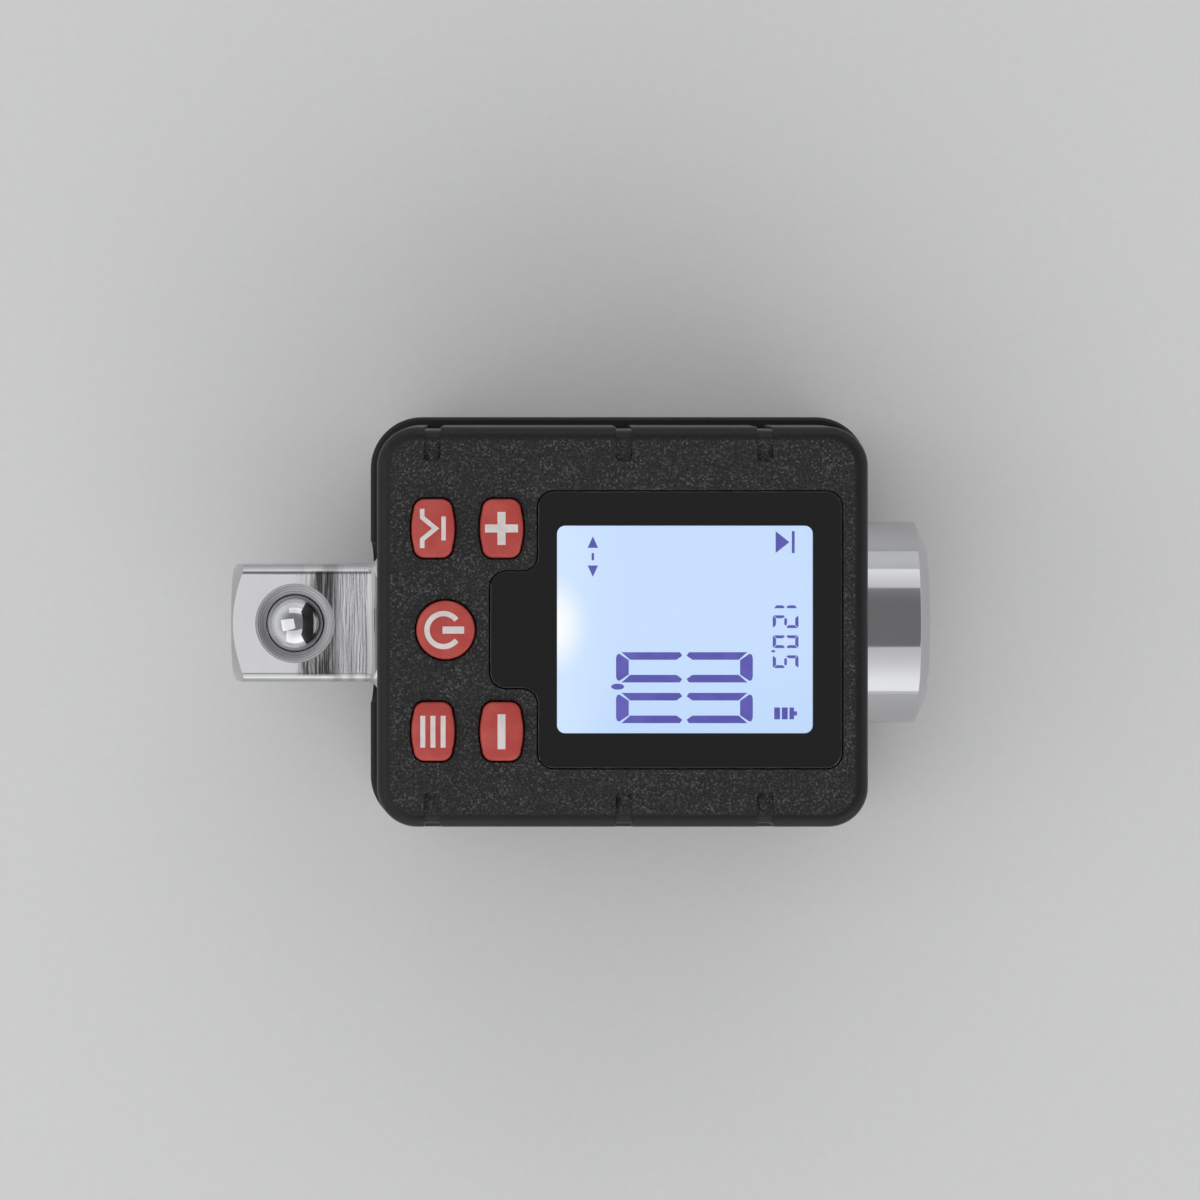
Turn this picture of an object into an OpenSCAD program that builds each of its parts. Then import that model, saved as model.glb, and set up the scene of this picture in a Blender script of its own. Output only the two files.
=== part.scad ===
/* [Shaft] */
// Overall length, from the tip of the square drive to the mouth of the socket
shaft_len = 75.2; // [74:0.1:78]
// Width across the flats of the square drive and of the square socket
drive_size = 12.7; // [12.4:0.05:12.9]
// Length of the flats of the square drive
drive_len = 14.65; // [14:0.05:15.5]
// Radius of the long edges of the square drive
drive_edge = 1.2; // [0.5:0.1:1.5]
// Radius of the flat end inside the turned lead at the tip
tip_flat_r = 5.95; // [5.5:0.05:6.2]
// Angle of the turned lead, from the end face
tip_lead_angle = 27; // [20:1:40]
// Fillet between the square drive and its shoulder
root_r = 1.2; // [0.8:0.1:1.5]
// Diameter of the neck that turns inside the housing's drive end
neck_d = 17.4; // [17:0.1:18]
// Length of the neck
neck_len = 7.5; // [7.2:0.1:8]
// Diameter of the slender section that twists
gauge_d = 14; // [13.5:0.1:14.5]
// Distance between the two flats that carry the strain gauges
gauge_flats = 12; // [11:0.1:12.5]
// Diameter of the socket
socket_d = 21.9; // [21.5:0.1:22.4]
// Length of the socket's round body
socket_len = 25; // [24:0.1:26]
// Depth of the square hole
socket_depth = 16; // [15:0.1:17]
// Radial height of the bevel at the socket's mouth
mouth_rise = 2.3; // [1.5:0.1:2.5]
// Length of that bevel along the shaft
mouth_run = 1.1; // [0.8:0.1:1.5]
// Room between the square hole and the drive that goes in, on each side
socket_slack = 0.08; // [0.05:0.01:0.15]
// Diameter of the detent ball
ball_d = 6.35; // [6:0.05:6.5]
// Distance of the ball from the tip
ball_back = 6.9; // [6.5:0.1:7.5]
// Travel of the ball into the drive
ball_travel = 1.9; // [1.5:0.1:2.1]
// Diameter of the countersink around the ball
ball_sink_d = 8.4; // [8:0.1:9]
// Diameter of the staked lip that keeps the ball in
ball_lip_d = 6.2; // [5.9:0.05:6.3]

/* [Housing] */
// Length of the front cover where its rim ends
cover_len = 51.4; // [51:0.1:53]
// Width of the front cover where its rim ends
cover_wid = 41.9; // [41.5:0.1:44]
// Height of the front cover, from the shaft's axis to the face
cover_h = 22.5; // [22:0.1:25]
// Height of the rear cover, from the back to the shaft's axis
rear_h = 17.5; // [17.2:0.1:19]
// Distance that the shaft's shoulder stands back inside the housing's end
shoulder_inset = 1; // [0.7:0.1:1.3]
// Corner radius of the front cover
corner_r = 4.2; // [4:0.1:5]
// Rounding between the face and the sides
rim_r = 1.2; // [0.8:0.1:1.5]
// Rounding between the back and the sides
rear_rim_r = 1.5; // [1:0.1:1.7]
// Draft of the sides, in degrees
draft = 1.5; // [1:0.1:2]
// Step by which the rear cover stands out past the front cover
ledge = 0.85; // [0.6:0.05:1.2]
// Small bevel on the edge of that step
ledge_bevel = 0.3; // [0.1:0.1:0.5]
// Wall of the front cover
cover_wall = 2; // [1.9:0.1:2.2]
// Wall of the rear cover
rear_wall = 2.2; // [2.1:0.1:2.4]
// Thickness of the front cover's face
face_t = 2.5; // [2.4:0.1:2.8]
// Thickness of the rear cover's floor
floor_t = 2.2; // [2:0.1:2.5]
// Length of the bearings that hold the shaft in the housing's ends
bearing_len = 4.5; // [4:0.1:4.8]
// Wall of those bearings
bearing_wall = 2.4; // [2:0.1:2.6]
// Width of the grooves that run over the rim and down the sides
groove_w = 1.7; // [1.4:0.1:2]
// Depth of the grooves
groove_depth = 0.35; // [0.3:0.05:0.7]
// Distance of the grooves' inner ends from the middle of the face
groove_reach = 17.3; // [16.8:0.1:18]
// Rounding of the grooves' inner corners
groove_r = 0.5; // [0.2:0.1:0.7]
// Places of the three grooves along each side, from the housing's middle
groove_places = [-19.9, 0.15, 14.9];

/* [Display] */
// Distance of the display and keys below the housing's middle line
face_shift = 0.3; // [0:0.1:0.5]
// Length of the window's wide part
window_len = 31.8; // [31:0.1:32]
// Width of the window
window_wid = 28.95; // [28:0.05:29.2]
// Place of the middle of the window's wide part, from the housing's middle
window_x = 7.05; // [6.8:0.05:7.1]
// Corner radius of the window
window_r = 1.65; // [1:0.05:2]
// Distance that the window's tab stands out between the keys
tab_len = 5; // [4:0.1:5.2]
// Width of that tab
tab_wid = 12.2; // [10:0.1:12.6]
// Thickness of the window
window_t = 1.1; // [1:0.05:1.2]
// Depth of the window's surface below the face
window_sink = 0.15; // [0.1:0.05:0.2]
// Length of the display's visible area
view_len = 26.8; // [25:0.1:27]
// Width of the display's visible area
view_wid = 21.75; // [20:0.05:22]
// Place of the middle of the visible area, from the housing's middle
view_x = 6.55; // [6.3:0.05:6.7]
// Corner radius of the visible area
view_r = 0.85; // [0.4:0.05:1.2]
// Thickness of the display's upper glass
upper_glass_t = 1; // [0.9:0.1:1.1]
// Thickness of the display's lower glass
lower_glass_t = 0.8; // [0.7:0.1:0.9]
// Thickness of the light guide
guide_t = 2.3; // [2.1:0.1:2.5]
// Border of the glass around the visible area
glass_border = 1.2; // [1:0.1:1.3]
// Width of the contact ledge along the upper glass
contact_ledge = 1.2; // [1:0.1:1.3]

/* [Keys] */
// Distance of the outer key column from the housing's middle
outer_key_x = 19.8; // [19.6:0.05:19.9]
// Distance of the inner key column from the housing's middle
inner_key_x = 12.65; // [12.6:0.05:12.9]
// Distance of the round key from the housing's middle
round_key_x = 18.5; // [18:0.05:18.8]
// Distance of the four outer keys from the display's middle line
key_y = 10.6; // [10.4:0.05:10.65]
// Width of a key
key_w = 4.5; // [4:0.1:4.6]
// Length of a key
key_l = 6.1; // [5.8:0.1:6.2]
// Bulge of a key's long sides
key_bulge = 0.25; // [0.1:0.05:0.4]
// Corner radius of a key
key_r = 1.1; // [0.6:0.05:1.3]
// Diameter of the round key
round_key_d = 6.1; // [5.8:0.1:6.3]
// Height of the keys above the face
key_proud = 1; // [0.8:0.1:1.3]
// Travel of a key
key_travel = 0.7; // [0.5:0.1:0.8]
// Gap around a key in its hole
key_gap = 0.18; // [0.12:0.02:0.22]

/* [Electronics] */
// Thickness of the circuit board
board_t = 1.2; // [1:0.1:1.4]
// Height of the buzzer and the tallest chips under the board
chip_h = 1.8; // [1.5:0.1:2]
// Diameter of a coin cell
cell_d = 20; // [19.8:0.1:20]
// Thickness of a coin cell
cell_t = 3.2; // [3:0.1:3.2]
// Thickness of the battery cover
door_t = 1.6; // [1.4:0.1:1.8]
// Length of the battery cover along the shaft
door_len = 25; // [24.4:0.1:25.6]
// Width of the battery cover
door_wid = 33; // [32.6:0.1:34]

/* [Fits] */
// Running room of a moving piece, on each side
run_gap = 0.05; // [0.03:0.01:0.08]
// Room between pieces that are laid into each other
slip_gap = 0.2; // [0.15:0.05:0.25]
// Depth by which a gasket or film pad lies clear of its groove
seal_gap = 0.02; // [0.01:0.01:0.04]
// Radial depth of the sealing grooves in the shaft
seal_depth = 1; // [0.8:0.1:1.2]
// Width of the sealing rings
seal_w = 1.9; // [1.6:0.1:2.2]

/* [Hidden] */

$fn = 96;
over = 1;

shell_tint = [0.15, 0.15, 0.16];
steel_tint = [0.78, 0.78, 0.8];
key_tint = [0.7, 0.24, 0.2];
rubber_tint = [0.1, 0.1, 0.1];
dome_tint = [0.62, 0.2, 0.17];
board_tint = [0.08, 0.3, 0.18];
glass_tint = [0.75, 0.85, 0.95];
brass_tint = [0.8, 0.65, 0.3];

// Levels and places that follow from the sizes
axis_z = rear_h;
face_z = rear_h + cover_h;
tip_x = -shaft_len / 2;
mouth_x = shaft_len / 2;
root_x = tip_x + drive_len;
shoulder_x = root_x + root_r;
gauge_x0 = shoulder_x + neck_len;
gauge_x1 = mouth_x - socket_len;
gauge_mid = (gauge_x0 + gauge_x1) / 2;
cover_flare = (cover_h - rim_r) * tan(draft);
rear_flare = (rear_h - rear_rim_r) * tan(draft);
rear_len = cover_len + 2 * (cover_flare + ledge);
rear_wid = cover_wid + 2 * (cover_flare + ledge);
body_x = shoulder_x - shoulder_inset + rear_len / 2;
inner_z = face_z - face_t;

// Screws: shank, head and head height
case_shank = 2.5;
case_head = 4.4;
case_head_h = 1.8;
case_screw_len = 14;
case_seat_z = 10;
board_shank = 2;
board_head = 3.4;
board_head_h = 1.3;
board_screw_len = 4.5;
door_shank = 2;
door_head = 3.4;
door_head_h = 0.9;
door_screw_len = 5;
shaft_shank = 3;
shaft_head = 5.4;
shaft_head_h = 2.4;
shaft_screw_len = 7.5;
shaft_screw_bite = 4;
recess_len_share = 2 / 3;
recess_wid_share = 1 / 8;
recess_depth_share = 0.7;

// Bosses
boss_inset = 3.7;
boss_r = 2.6;
rear_boss_r = 3.6;
boss_bore_len = 8;
post_r = 1.8;
post_x = [-14.2, 14.8];
post_y = 16.7;

// Window stack
window_top = face_z - window_sink;
window_low = window_top - window_t;
mask_t = 0.1;
tape_t = 0.25;
window_floor = window_low - mask_t - tape_t;
window_gap = 0.12;

// Display stack
glass_drop = 0.2;
glass_top = inner_z - glass_drop;
lower_glass_top = glass_top - upper_glass_t;
glass_low = lower_glass_top - lower_glass_t;
film_t = 0.2;
board_top = glass_low - guide_t - film_t;
board_low = board_top - board_t;
view_mid = body_x + view_x;
glass_len = view_len + 2 * glass_border;
glass_wid = view_wid + 2 * glass_border;
holder_wall = 0.7;
holder_x0 = view_mid - glass_len / 2 - slip_gap - holder_wall;
holder_x1 = view_mid + glass_len / 2 + contact_ledge + slip_gap + holder_wall;
board_gap = 0.35;
led_len = 0.9;
led_wid = 3;
led_h = 1.4;

// Keypad stack
mat_t = 0.8;
flange_out = 0.5;
flange_t = 0.8;
flange_drop = 0.2;
flange_top = inner_z - flange_drop;
flange_low = flange_top - flange_t;
mat_top = board_top + mat_t;
pill_r = 1.2;
pill_clear = 0.15;
dome_r = 2;
dome_wall = 0.5;
key_bevel = 0.25;

// Battery stack
cell_gap = 0.3;
cell_lift = 0.4;
cell_z = door_t + cell_lift;
well_r = cell_d / 2 + cell_gap;
well_wall = 1.2;
contact_t = 0.3;
well_top = cell_z + 2 * (cell_t + seal_gap) + contact_t + slip_gap;
well_roof = 0.9;
contact_w = 4;
tab_out = 2.2;
lead_r = 0.5;
door_screw_inset = 2.9;
door_screw_y = door_wid / 2 - door_screw_inset;
door_boss_r = 2.6;
door_boss_h = 6;
door_r = 2.5;
battery_shift = 5.18;
battery_x = body_x - battery_shift;

// Places of the keys
function key_place(x, side) = [body_x - x, side * key_y - face_shift];
power_at = [body_x - round_key_x, -face_shift];
peak_at = key_place(outer_key_x, 1);
plus_at = key_place(inner_key_x, 1);
memory_at = key_place(outer_key_x, -1);
minus_at = key_place(inner_key_x, -1);

// A quarter disc in the first quadrant
module quarter_disc(r) {
    intersection() {
        circle(r = r);
        square([r, r]);
    }
}

// A rectangle about the origin with rounded corners
module round_rect(l, w, r) {
    square([l, w - 2 * r], center = true);
    square([l - 2 * r, w], center = true);
    for (q = [0:3]) {
        far = q % 2 == 0 ? [l / 2 - r, w / 2 - r] : [w / 2 - r, l / 2 - r];
        rotate([0, 0, 90 * q]) translate(far) quarter_disc(r);
    }
}

// Section of a wall from the corner's axis outward: wide at its foot, rounded at its top
module wall_section(r, h, rim, tilt, bevel) {
    foot = r + (h - rim) * tan(tilt);
    polygon([
        [0, 0], [foot - bevel, 0], [foot, bevel], [r, h - rim],
        [r - rim, h - rim], [r - rim, h], [0, h]
    ]);
    if (rim > 0) translate([r - rim, h - rim]) quarter_disc(rim);
}

// A drafted box with round corners that stands on z = 0; l and w are taken where its rim starts
module shell(l, w, r, h, rim = 0, tilt = draft, bevel = 0) {
    cx = l / 2 - r;
    cy = w / 2 - r;
    translate([-cx, -cy, 0]) cube([2 * cx, 2 * cy, h]);
    for (q = [0:3]) {
        far = q % 2 == 0 ? [cx, cy, 0] : [cy, cx, 0];
        rotate([0, 0, 90 * q]) translate(far)
            rotate_extrude(angle = 90) wall_section(r, h, rim, tilt, bevel);
    }
    for (turn = [0, 180]) {
        rotate([0, 0, turn]) translate([-cx, cy, 0]) rotate([90, 0, 90])
            linear_extrude(2 * cx) wall_section(r, h, rim, tilt, bevel);
        rotate([0, 0, turn]) translate([cx, cy, 0]) rotate([90, 0, 0])
            linear_extrude(2 * cy) wall_section(r, h, rim, tilt, bevel);
    }
}

// A cylinder along X from x0 to x1 on the shaft's axis
module along_shaft(x0, x1, r) {
    translate([x0, 0, axis_z]) rotate([0, 90, 0]) cylinder(r = r, h = x1 - x0);
}

// A flat ring between two outlines: children(0) less children(1)
module cut_plate(z, t) {
    translate([0, 0, z]) linear_extrude(t) difference() {
        children(0);
        children(1);
    }
}

// A screw that points up, with its head's top face at z = 0 and a cross recess below
module screw(shank, head, head_h, len) {
    arm = head * recess_len_share;
    slot = head * recess_wid_share;
    difference() {
        union() {
            translate([0, 0, -head_h]) cylinder(d = head, h = head_h);
            cylinder(d = shank, h = len);
        }
        for (turn = [0, 90]) {
            rotate([0, 0, turn]) translate([-arm / 2, -slot / 2, -head_h - over])
                cube([arm, slot, over + recess_depth_share * head_h]);
        }
    }
}

// Case screw places at the four corners
module at_case_screws() {
    for (sx = [-1, 1], sy = [-1, 1]) {
        translate([body_x + sx * (cover_len / 2 - boss_inset), sy * (cover_wid / 2 - boss_inset), 0])
            children();
    }
}

module at_board_screws() {
    for (x = post_x, side = [-1, 1]) translate([body_x + x, side * post_y, 0]) children();
}

module at_door_screws() {
    for (side = [-1, 1]) translate([battery_x, side * door_screw_y, 0]) children();
}

// Outline of the window, grown by g on every side
module window_outline(g) {
    right = window_x + window_len / 2 + g;
    left = window_x - window_len / 2 - g;
    fillet = window_r - g;
    translate([(left + right) / 2, 0]) round_rect(right - left, window_wid + 2 * g, window_r + g);
    translate([left - tab_len / 2 + window_r, 0])
        round_rect(tab_len + 2 * window_r, tab_wid + 2 * g, window_r + g);
    for (side = [-1, 1]) {
        mirror([0, side < 0 ? 1 : 0]) translate([left - fillet, tab_wid / 2 + g]) difference() {
            square(fillet);
            translate([0, fillet]) circle(r = fillet);
        }
    }
}

module window_place() {
    translate([body_x, -face_shift]) children();
}

module view_outline() {
    translate([view_mid, -face_shift]) round_rect(view_len, view_wid, view_r);
}

// Outline of a key with bulged long sides, drawn in by g
function barrel_points(g) = let (
        half_l = key_l / 2 - g,
        half_w = key_w / 2 - g,
        r = key_r - g,
        chord = half_l - r,
        big = (chord * chord + key_bulge * key_bulge) / (2 * key_bulge),
        steps = 8,
        side = [for (i = [0:steps]) let (y = -chord + 2 * chord * i / steps)
            [half_w - big + sqrt(big * big - y * y), y]],
        corner = [for (i = [1:steps]) let (a = 90 * i / steps)
            [half_w - key_bulge - r + r * cos(a), chord + r * sin(a)]],
        flank = concat(side, corner)
    ) concat(
        [for (p = flank) p],
        [for (i = [len(corner) - 1:-1:0]) [-corner[i][0], corner[i][1]]],
        [for (i = [len(side) - 1:-1:0]) [-side[i][0], side[i][1]]],
        [for (i = [0:len(corner) - 1]) [-corner[i][0], -corner[i][1]]],
        [for (i = [len(corner) - 1:-1:0]) [corner[i][0], -corner[i][1]]]
    );

// A rectangular key with its flange and the pill that closes the contact
module barrel_key(at) {
    color(key_tint) translate(at) {
        translate([0, 0, flange_top])
            linear_extrude(face_z + key_proud - key_bevel - flange_top) polygon(barrel_points(0));
        translate([0, 0, face_z + key_proud - key_bevel])
            linear_extrude(key_bevel) polygon(barrel_points(key_bevel));
        translate([0, 0, flange_low]) linear_extrude(flange_t) polygon(barrel_points(-flange_out));
        translate([0, 0, board_top + key_travel + pill_clear])
            cylinder(r = pill_r, h = flange_low - board_top - key_travel - pill_clear);
    }
}

module round_key(at) {
    color(key_tint) translate(at) {
        translate([0, 0, flange_top])
            cylinder(d = round_key_d, h = face_z + key_proud - key_bevel - flange_top);
        translate([0, 0, face_z + key_proud - key_bevel])
            cylinder(r1 = round_key_d / 2, r2 = round_key_d / 2 - key_bevel, h = key_bevel);
        translate([0, 0, flange_low]) cylinder(d = round_key_d + 2 * flange_out, h = flange_t);
        translate([0, 0, board_top + key_travel + pill_clear])
            cylinder(r = pill_r, h = flange_low - board_top - key_travel - pill_clear);
    }
}

// The thin web that carries a key on the sheet and snaps when it is pressed
module dome(at) {
    low = dome_r + dome_wall;
    color(dome_tint) translate([at[0], at[1], mat_top]) rotate_extrude() polygon([
        [low - dome_wall, 0], [low, 0],
        [low - dome_wall / 2, flange_low - mat_top], [low - dome_wall * 3 / 2, flange_low - mat_top]
    ]);
}

module key_holes() {
    for (at = [peak_at, plus_at, memory_at, minus_at]) {
        translate([at[0], at[1], inner_z - over])
            linear_extrude(face_t + 2 * over) polygon(barrel_points(-key_gap));
    }
    translate([power_at[0], power_at[1], inner_z - over])
        cylinder(r = round_key_d / 2 + key_gap, h = face_t + 2 * over);
}

// The grooves over the rim: what lies outside a second skin that is groove_depth deeper
module grooves() {
    reach = cover_wid / 2 - corner_r;
    deep_r = corner_r - groove_depth;
    for (turn = [0, 1], place = groove_places) {
        mirror([0, turn, 0]) translate([body_x + place, 0, axis_z]) intersection() {
            translate([-groove_w / 2, 0, 0]) rotate([90, 0, 90]) linear_extrude(groove_w) difference() {
                translate([0, -over]) square([rear_wid, cover_h + 2 * over]);
                translate([reach, -2 * over])
                    wall_section(deep_r, cover_h + 2 * over - groove_depth, rim_r, draft, 0);
                translate([-over, -2 * over]) square([reach + over, cover_h + 2 * over - groove_depth]);
            }
            translate([0, groove_reach + rear_wid / 2, -over]) linear_extrude(cover_h + 2 * over)
                round_rect(groove_w, rear_wid, groove_r);
        }
    }
}

module shaft_bores() {
    along_shaft(body_x - rear_len, gauge_mid, neck_d / 2 + run_gap);
    along_shaft(gauge_mid, body_x + rear_len, socket_d / 2 + run_gap);
}

// Blocks at both ends that hold the shaft's neck and socket
module bearing_blocks() {
    left = body_x - cover_len / 2;
    right = body_x + cover_len / 2;
    along_shaft(left, left + bearing_len, neck_d / 2 + bearing_wall);
    along_shaft(right - bearing_len, right, socket_d / 2 + bearing_wall);
}

module front_cover() {
    color(shell_tint) difference() {
        union() {
            difference() {
                translate([body_x, 0, axis_z]) shell(cover_len, cover_wid, corner_r, cover_h, rim_r);
                translate([body_x, 0, axis_z - over]) shell(
                    cover_len - 2 * cover_wall, cover_wid - 2 * cover_wall,
                    corner_r - cover_wall, cover_h - face_t + over);
            }
            at_case_screws() translate([0, 0, axis_z]) cylinder(r = boss_r, h = inner_z - axis_z + over);
            at_board_screws() translate([0, 0, board_top])
                cylinder(r = post_r, h = inner_z - board_top + over);
            intersection() {
                bearing_blocks();
                translate([body_x - cover_len, -cover_wid, axis_z])
                    cube([2 * cover_len, 2 * cover_wid, cover_h]);
            }
        }
        translate([0, 0, window_floor]) linear_extrude(face_t + over)
            window_place() window_outline(window_gap);
        translate([0, 0, inner_z - over]) linear_extrude(face_t + over) view_outline();
        key_holes();
        grooves();
        shaft_bores();
        at_case_screws() translate([0, 0, axis_z - over])
            cylinder(r = case_shank / 2 + run_gap, h = boss_bore_len + over);
        at_board_screws() translate([0, 0, board_top - over])
            cylinder(r = board_shank / 2 + run_gap, h = board_screw_len - board_t + 2 * over);
    }
}

// The hole in the rear cover for the battery and its cover
module battery_bay() {
    translate([battery_x, 0, -over]) linear_extrude(door_t + over)
        round_rect(door_len + 2 * slip_gap, door_wid + 2 * slip_gap, door_r + slip_gap);
    translate([battery_x, 0, 0]) cylinder(r = well_r, h = well_top);
    translate([battery_x, 0, door_t - over])
        cylinder(r = well_r + well_wall / 2 + slip_gap, h = over + cell_lift);
    at_door_screws() cylinder(r = door_shank / 2 + run_gap, h = door_boss_h);
    translate([battery_x - contact_w / 2 - slip_gap, 0, well_top - contact_t - slip_gap])
        cube([contact_w + 2 * slip_gap, well_r + well_wall + over, contact_t + slip_gap]);
    translate([battery_x - contact_w / 2 - slip_gap, -well_r - contact_t / 2, cell_z])
        cube([contact_w + 2 * slip_gap, cell_gap + contact_t / 2, well_top + well_roof]);
}

module rear_cover() {
    color(shell_tint) difference() {
        union() {
            difference() {
                translate([body_x, 0, axis_z]) mirror([0, 0, 1]) shell(
                    rear_len - 2 * rear_flare, rear_wid - 2 * rear_flare,
                    corner_r + cover_flare + ledge - rear_flare, rear_h, rear_rim_r, draft, ledge_bevel);
                translate([body_x, 0, axis_z + over]) mirror([0, 0, 1]) shell(
                    rear_len - 2 * rear_flare - 2 * rear_wall, rear_wid - 2 * rear_flare - 2 * rear_wall,
                    corner_r + cover_flare + ledge - rear_flare - rear_wall, rear_h - floor_t + over);
            }
            at_case_screws() translate([0, 0, floor_t - over])
                cylinder(r = rear_boss_r, h = axis_z - floor_t + over);
            at_door_screws() translate([0, 0, floor_t - over])
                cylinder(r = door_boss_r, h = door_boss_h - floor_t + 2 * over);
            translate([battery_x, 0, floor_t - over])
                cylinder(r = well_r + well_wall, h = well_top + well_roof - floor_t + over);
            translate([neck_screw_x, 0, floor_t - over])
                cylinder(d = shaft_head + 2 * well_wall + slip_gap, h = axis_z - floor_t);
            translate([socket_screw_x, 0, floor_t - over])
                cylinder(d = shaft_head + 2 * well_wall + slip_gap, h = axis_z - floor_t);
            intersection() {
                bearing_blocks();
                translate([body_x - rear_len, -rear_wid, 0]) cube([2 * rear_len, 2 * rear_wid, axis_z]);
            }
        }
        shaft_bores();
        battery_bay();
        at_case_screws() translate([0, 0, -over])
            cylinder(d = case_head + 2 * slip_gap, h = case_seat_z + over);
        at_case_screws() cylinder(r = case_shank / 2 + run_gap, h = axis_z + over);
        shaft_screw_hole(neck_screw_x, neck_seat_z);
        shaft_screw_hole(socket_screw_x, socket_seat_z);
    }
}

// Screws through the rear cover into the underside of the shaft
neck_screw_x = gauge_x0 - shaft_head / 2;
socket_screw_x = body_x + cover_len / 2 - bearing_len - shaft_head;
neck_seat_z = axis_z - neck_d / 2 - shaft_screw_len + shaft_screw_bite;
socket_seat_z = axis_z - socket_d / 2 - shaft_screw_len + shaft_screw_bite;

module shaft_screw_hole(x, seat) {
    translate([x, 0, -over]) cylinder(d = shaft_head + slip_gap, h = seat + over);
    translate([x, 0, 0]) cylinder(r = shaft_shank / 2 + run_gap, h = axis_z);
}

module display_window() {
    color([0.1, 0.1, 0.11]) translate([0, 0, window_low]) linear_extrude(window_t)
        window_place() window_outline(0);
}

module window_mask() {
    color([0.03, 0.03, 0.03]) cut_plate(window_low - mask_t, mask_t) {
        window_place() window_outline(0);
        view_outline();
    }
}

module window_tape() {
    color([0.2, 0.2, 0.2]) cut_plate(window_floor, tape_t) {
        window_place() window_outline(0);
        view_outline();
    }
}

module lcd_panel() {
    color(glass_tint) translate([view_mid - glass_len / 2, -glass_wid / 2 - face_shift, 0]) {
        translate([0, 0, lower_glass_top]) cube([glass_len + contact_ledge, glass_wid, upper_glass_t]);
        translate([0, 0, glass_low]) cube([glass_len, glass_wid, lower_glass_t]);
    }
}

module light_guide() {
    corner = [view_mid - glass_len / 2, -glass_wid / 2 - face_shift, glass_low - guide_t];
    color([0.92, 0.95, 1]) translate(corner) difference() {
        cube([glass_len, glass_wid, guide_t]);
        translate([-over, (glass_wid - led_wid) / 2 - slip_gap, -over])
            cube([over + led_len + slip_gap, led_wid + 2 * slip_gap, guide_t + 2 * over]);
    }
}

module reflector_film() {
    left = view_mid - glass_len / 2 + led_len + slip_gap;
    color([0.9, 0.9, 0.9]) translate([left, -glass_wid / 2 - face_shift, board_top])
        cube([glass_len - led_len - slip_gap, glass_wid, film_t]);
}

module backlight_led() {
    left = view_mid - glass_len / 2;
    color([0.98, 0.98, 0.85]) translate([left, -led_wid / 2 - face_shift, board_top])
        cube([led_len, led_wid, led_h]);
}

// Frame that holds the glass and the light guide on the board
module lcd_holder() {
    mid = (holder_x0 + holder_x1) / 2;
    color([0.85, 0.85, 0.83]) cut_plate(board_top, glass_top - board_top) {
        translate([mid, -face_shift])
            square([holder_x1 - holder_x0, glass_wid + 2 * (slip_gap + holder_wall)], center = true);
        translate([mid, -face_shift])
            square([holder_x1 - holder_x0 - 2 * holder_wall, glass_wid + 2 * slip_gap], center = true);
    }
}

// Striped rubber strip that joins the glass to the board
module contact_strip() {
    left = view_mid + glass_len / 2 + slip_gap;
    color([0.5, 0.5, 0.52]) translate([left, -glass_wid / 2 - face_shift, board_top])
        cube([contact_ledge - slip_gap, glass_wid, lower_glass_top - board_top]);
}

module main_board() {
    len = cover_len - 2 * (cover_wall + board_gap);
    wid = cover_wid - 2 * (cover_wall + board_gap);
    color(board_tint) difference() {
        translate([body_x, 0, board_low]) linear_extrude(board_t)
            round_rect(len, wid, corner_r - cover_wall);
        at_case_screws() translate([0, 0, board_low - over])
            cylinder(r = boss_r + board_gap, h = board_t + 2 * over);
        at_board_screws() translate([0, 0, board_low - over])
            cylinder(r = board_shank / 2 + slip_gap, h = board_t + 2 * over);
    }
}

// Chips on the underside: the amplifier stands beside the gauges' leads, the others keep their places
amplifier_size = 7;
amplifier_place = [-6.8, 7];
chip_sizes = [[5, 4], [3, 1.6], [3.2, 2.5], [2, 1.2]];
chip_height_shares = [0.7, 0.5, 0.6, 0.5];
chip_places = [[6, -9], [-12, -3], [14, 6], [-3, -12]];

module chip(len, wid, tall) {
    translate([-len / 2, -wid / 2, board_low - tall]) cube([len, wid, tall]);
}

module board_chips() {
    color([0.12, 0.12, 0.13]) {
        translate([gauge_mid + amplifier_place[0], amplifier_place[1], 0])
            chip(amplifier_size, amplifier_size, chip_h);
        for (i = [0:len(chip_sizes) - 1]) {
            translate([body_x + chip_places[i][0], chip_places[i][1], 0])
                chip(chip_sizes[i][0], chip_sizes[i][1], chip_h * chip_height_shares[i]);
        }
    }
}

buzzer_d = 9;
buzzer_hole_d = 1.6;
buzzer_place = [17, -9];

module buzzer() {
    place = [body_x + buzzer_place[0], buzzer_place[1], board_low - chip_h];
    color([0.08, 0.08, 0.08]) translate(place) difference() {
        cylinder(d = buzzer_d, h = chip_h);
        translate([0, 0, -over]) cylinder(d = buzzer_hole_d, h = over + chip_h / 2);
    }
}

module board_screws() {
    color(steel_tint) at_board_screws() translate([0, 0, board_low])
        screw(board_shank, board_head, board_head_h, board_screw_len);
}

module keypad_sheet() {
    x0 = body_x - cover_len / 2 + cover_wall + 2 * board_gap;
    x1 = holder_x0 - 2 * slip_gap;
    wid = 2 * (key_y + key_l / 2 + flange_out);
    color(dome_tint) difference() {
        translate([(x0 + x1) / 2, -face_shift, board_top])
            linear_extrude(mat_t) round_rect(x1 - x0, wid, key_r);
        for (at = [power_at, peak_at, plus_at, memory_at, minus_at]) {
            translate([at[0], at[1], board_top - over]) cylinder(r = dome_r, h = mat_t + 2 * over);
        }
    }
}

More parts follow.
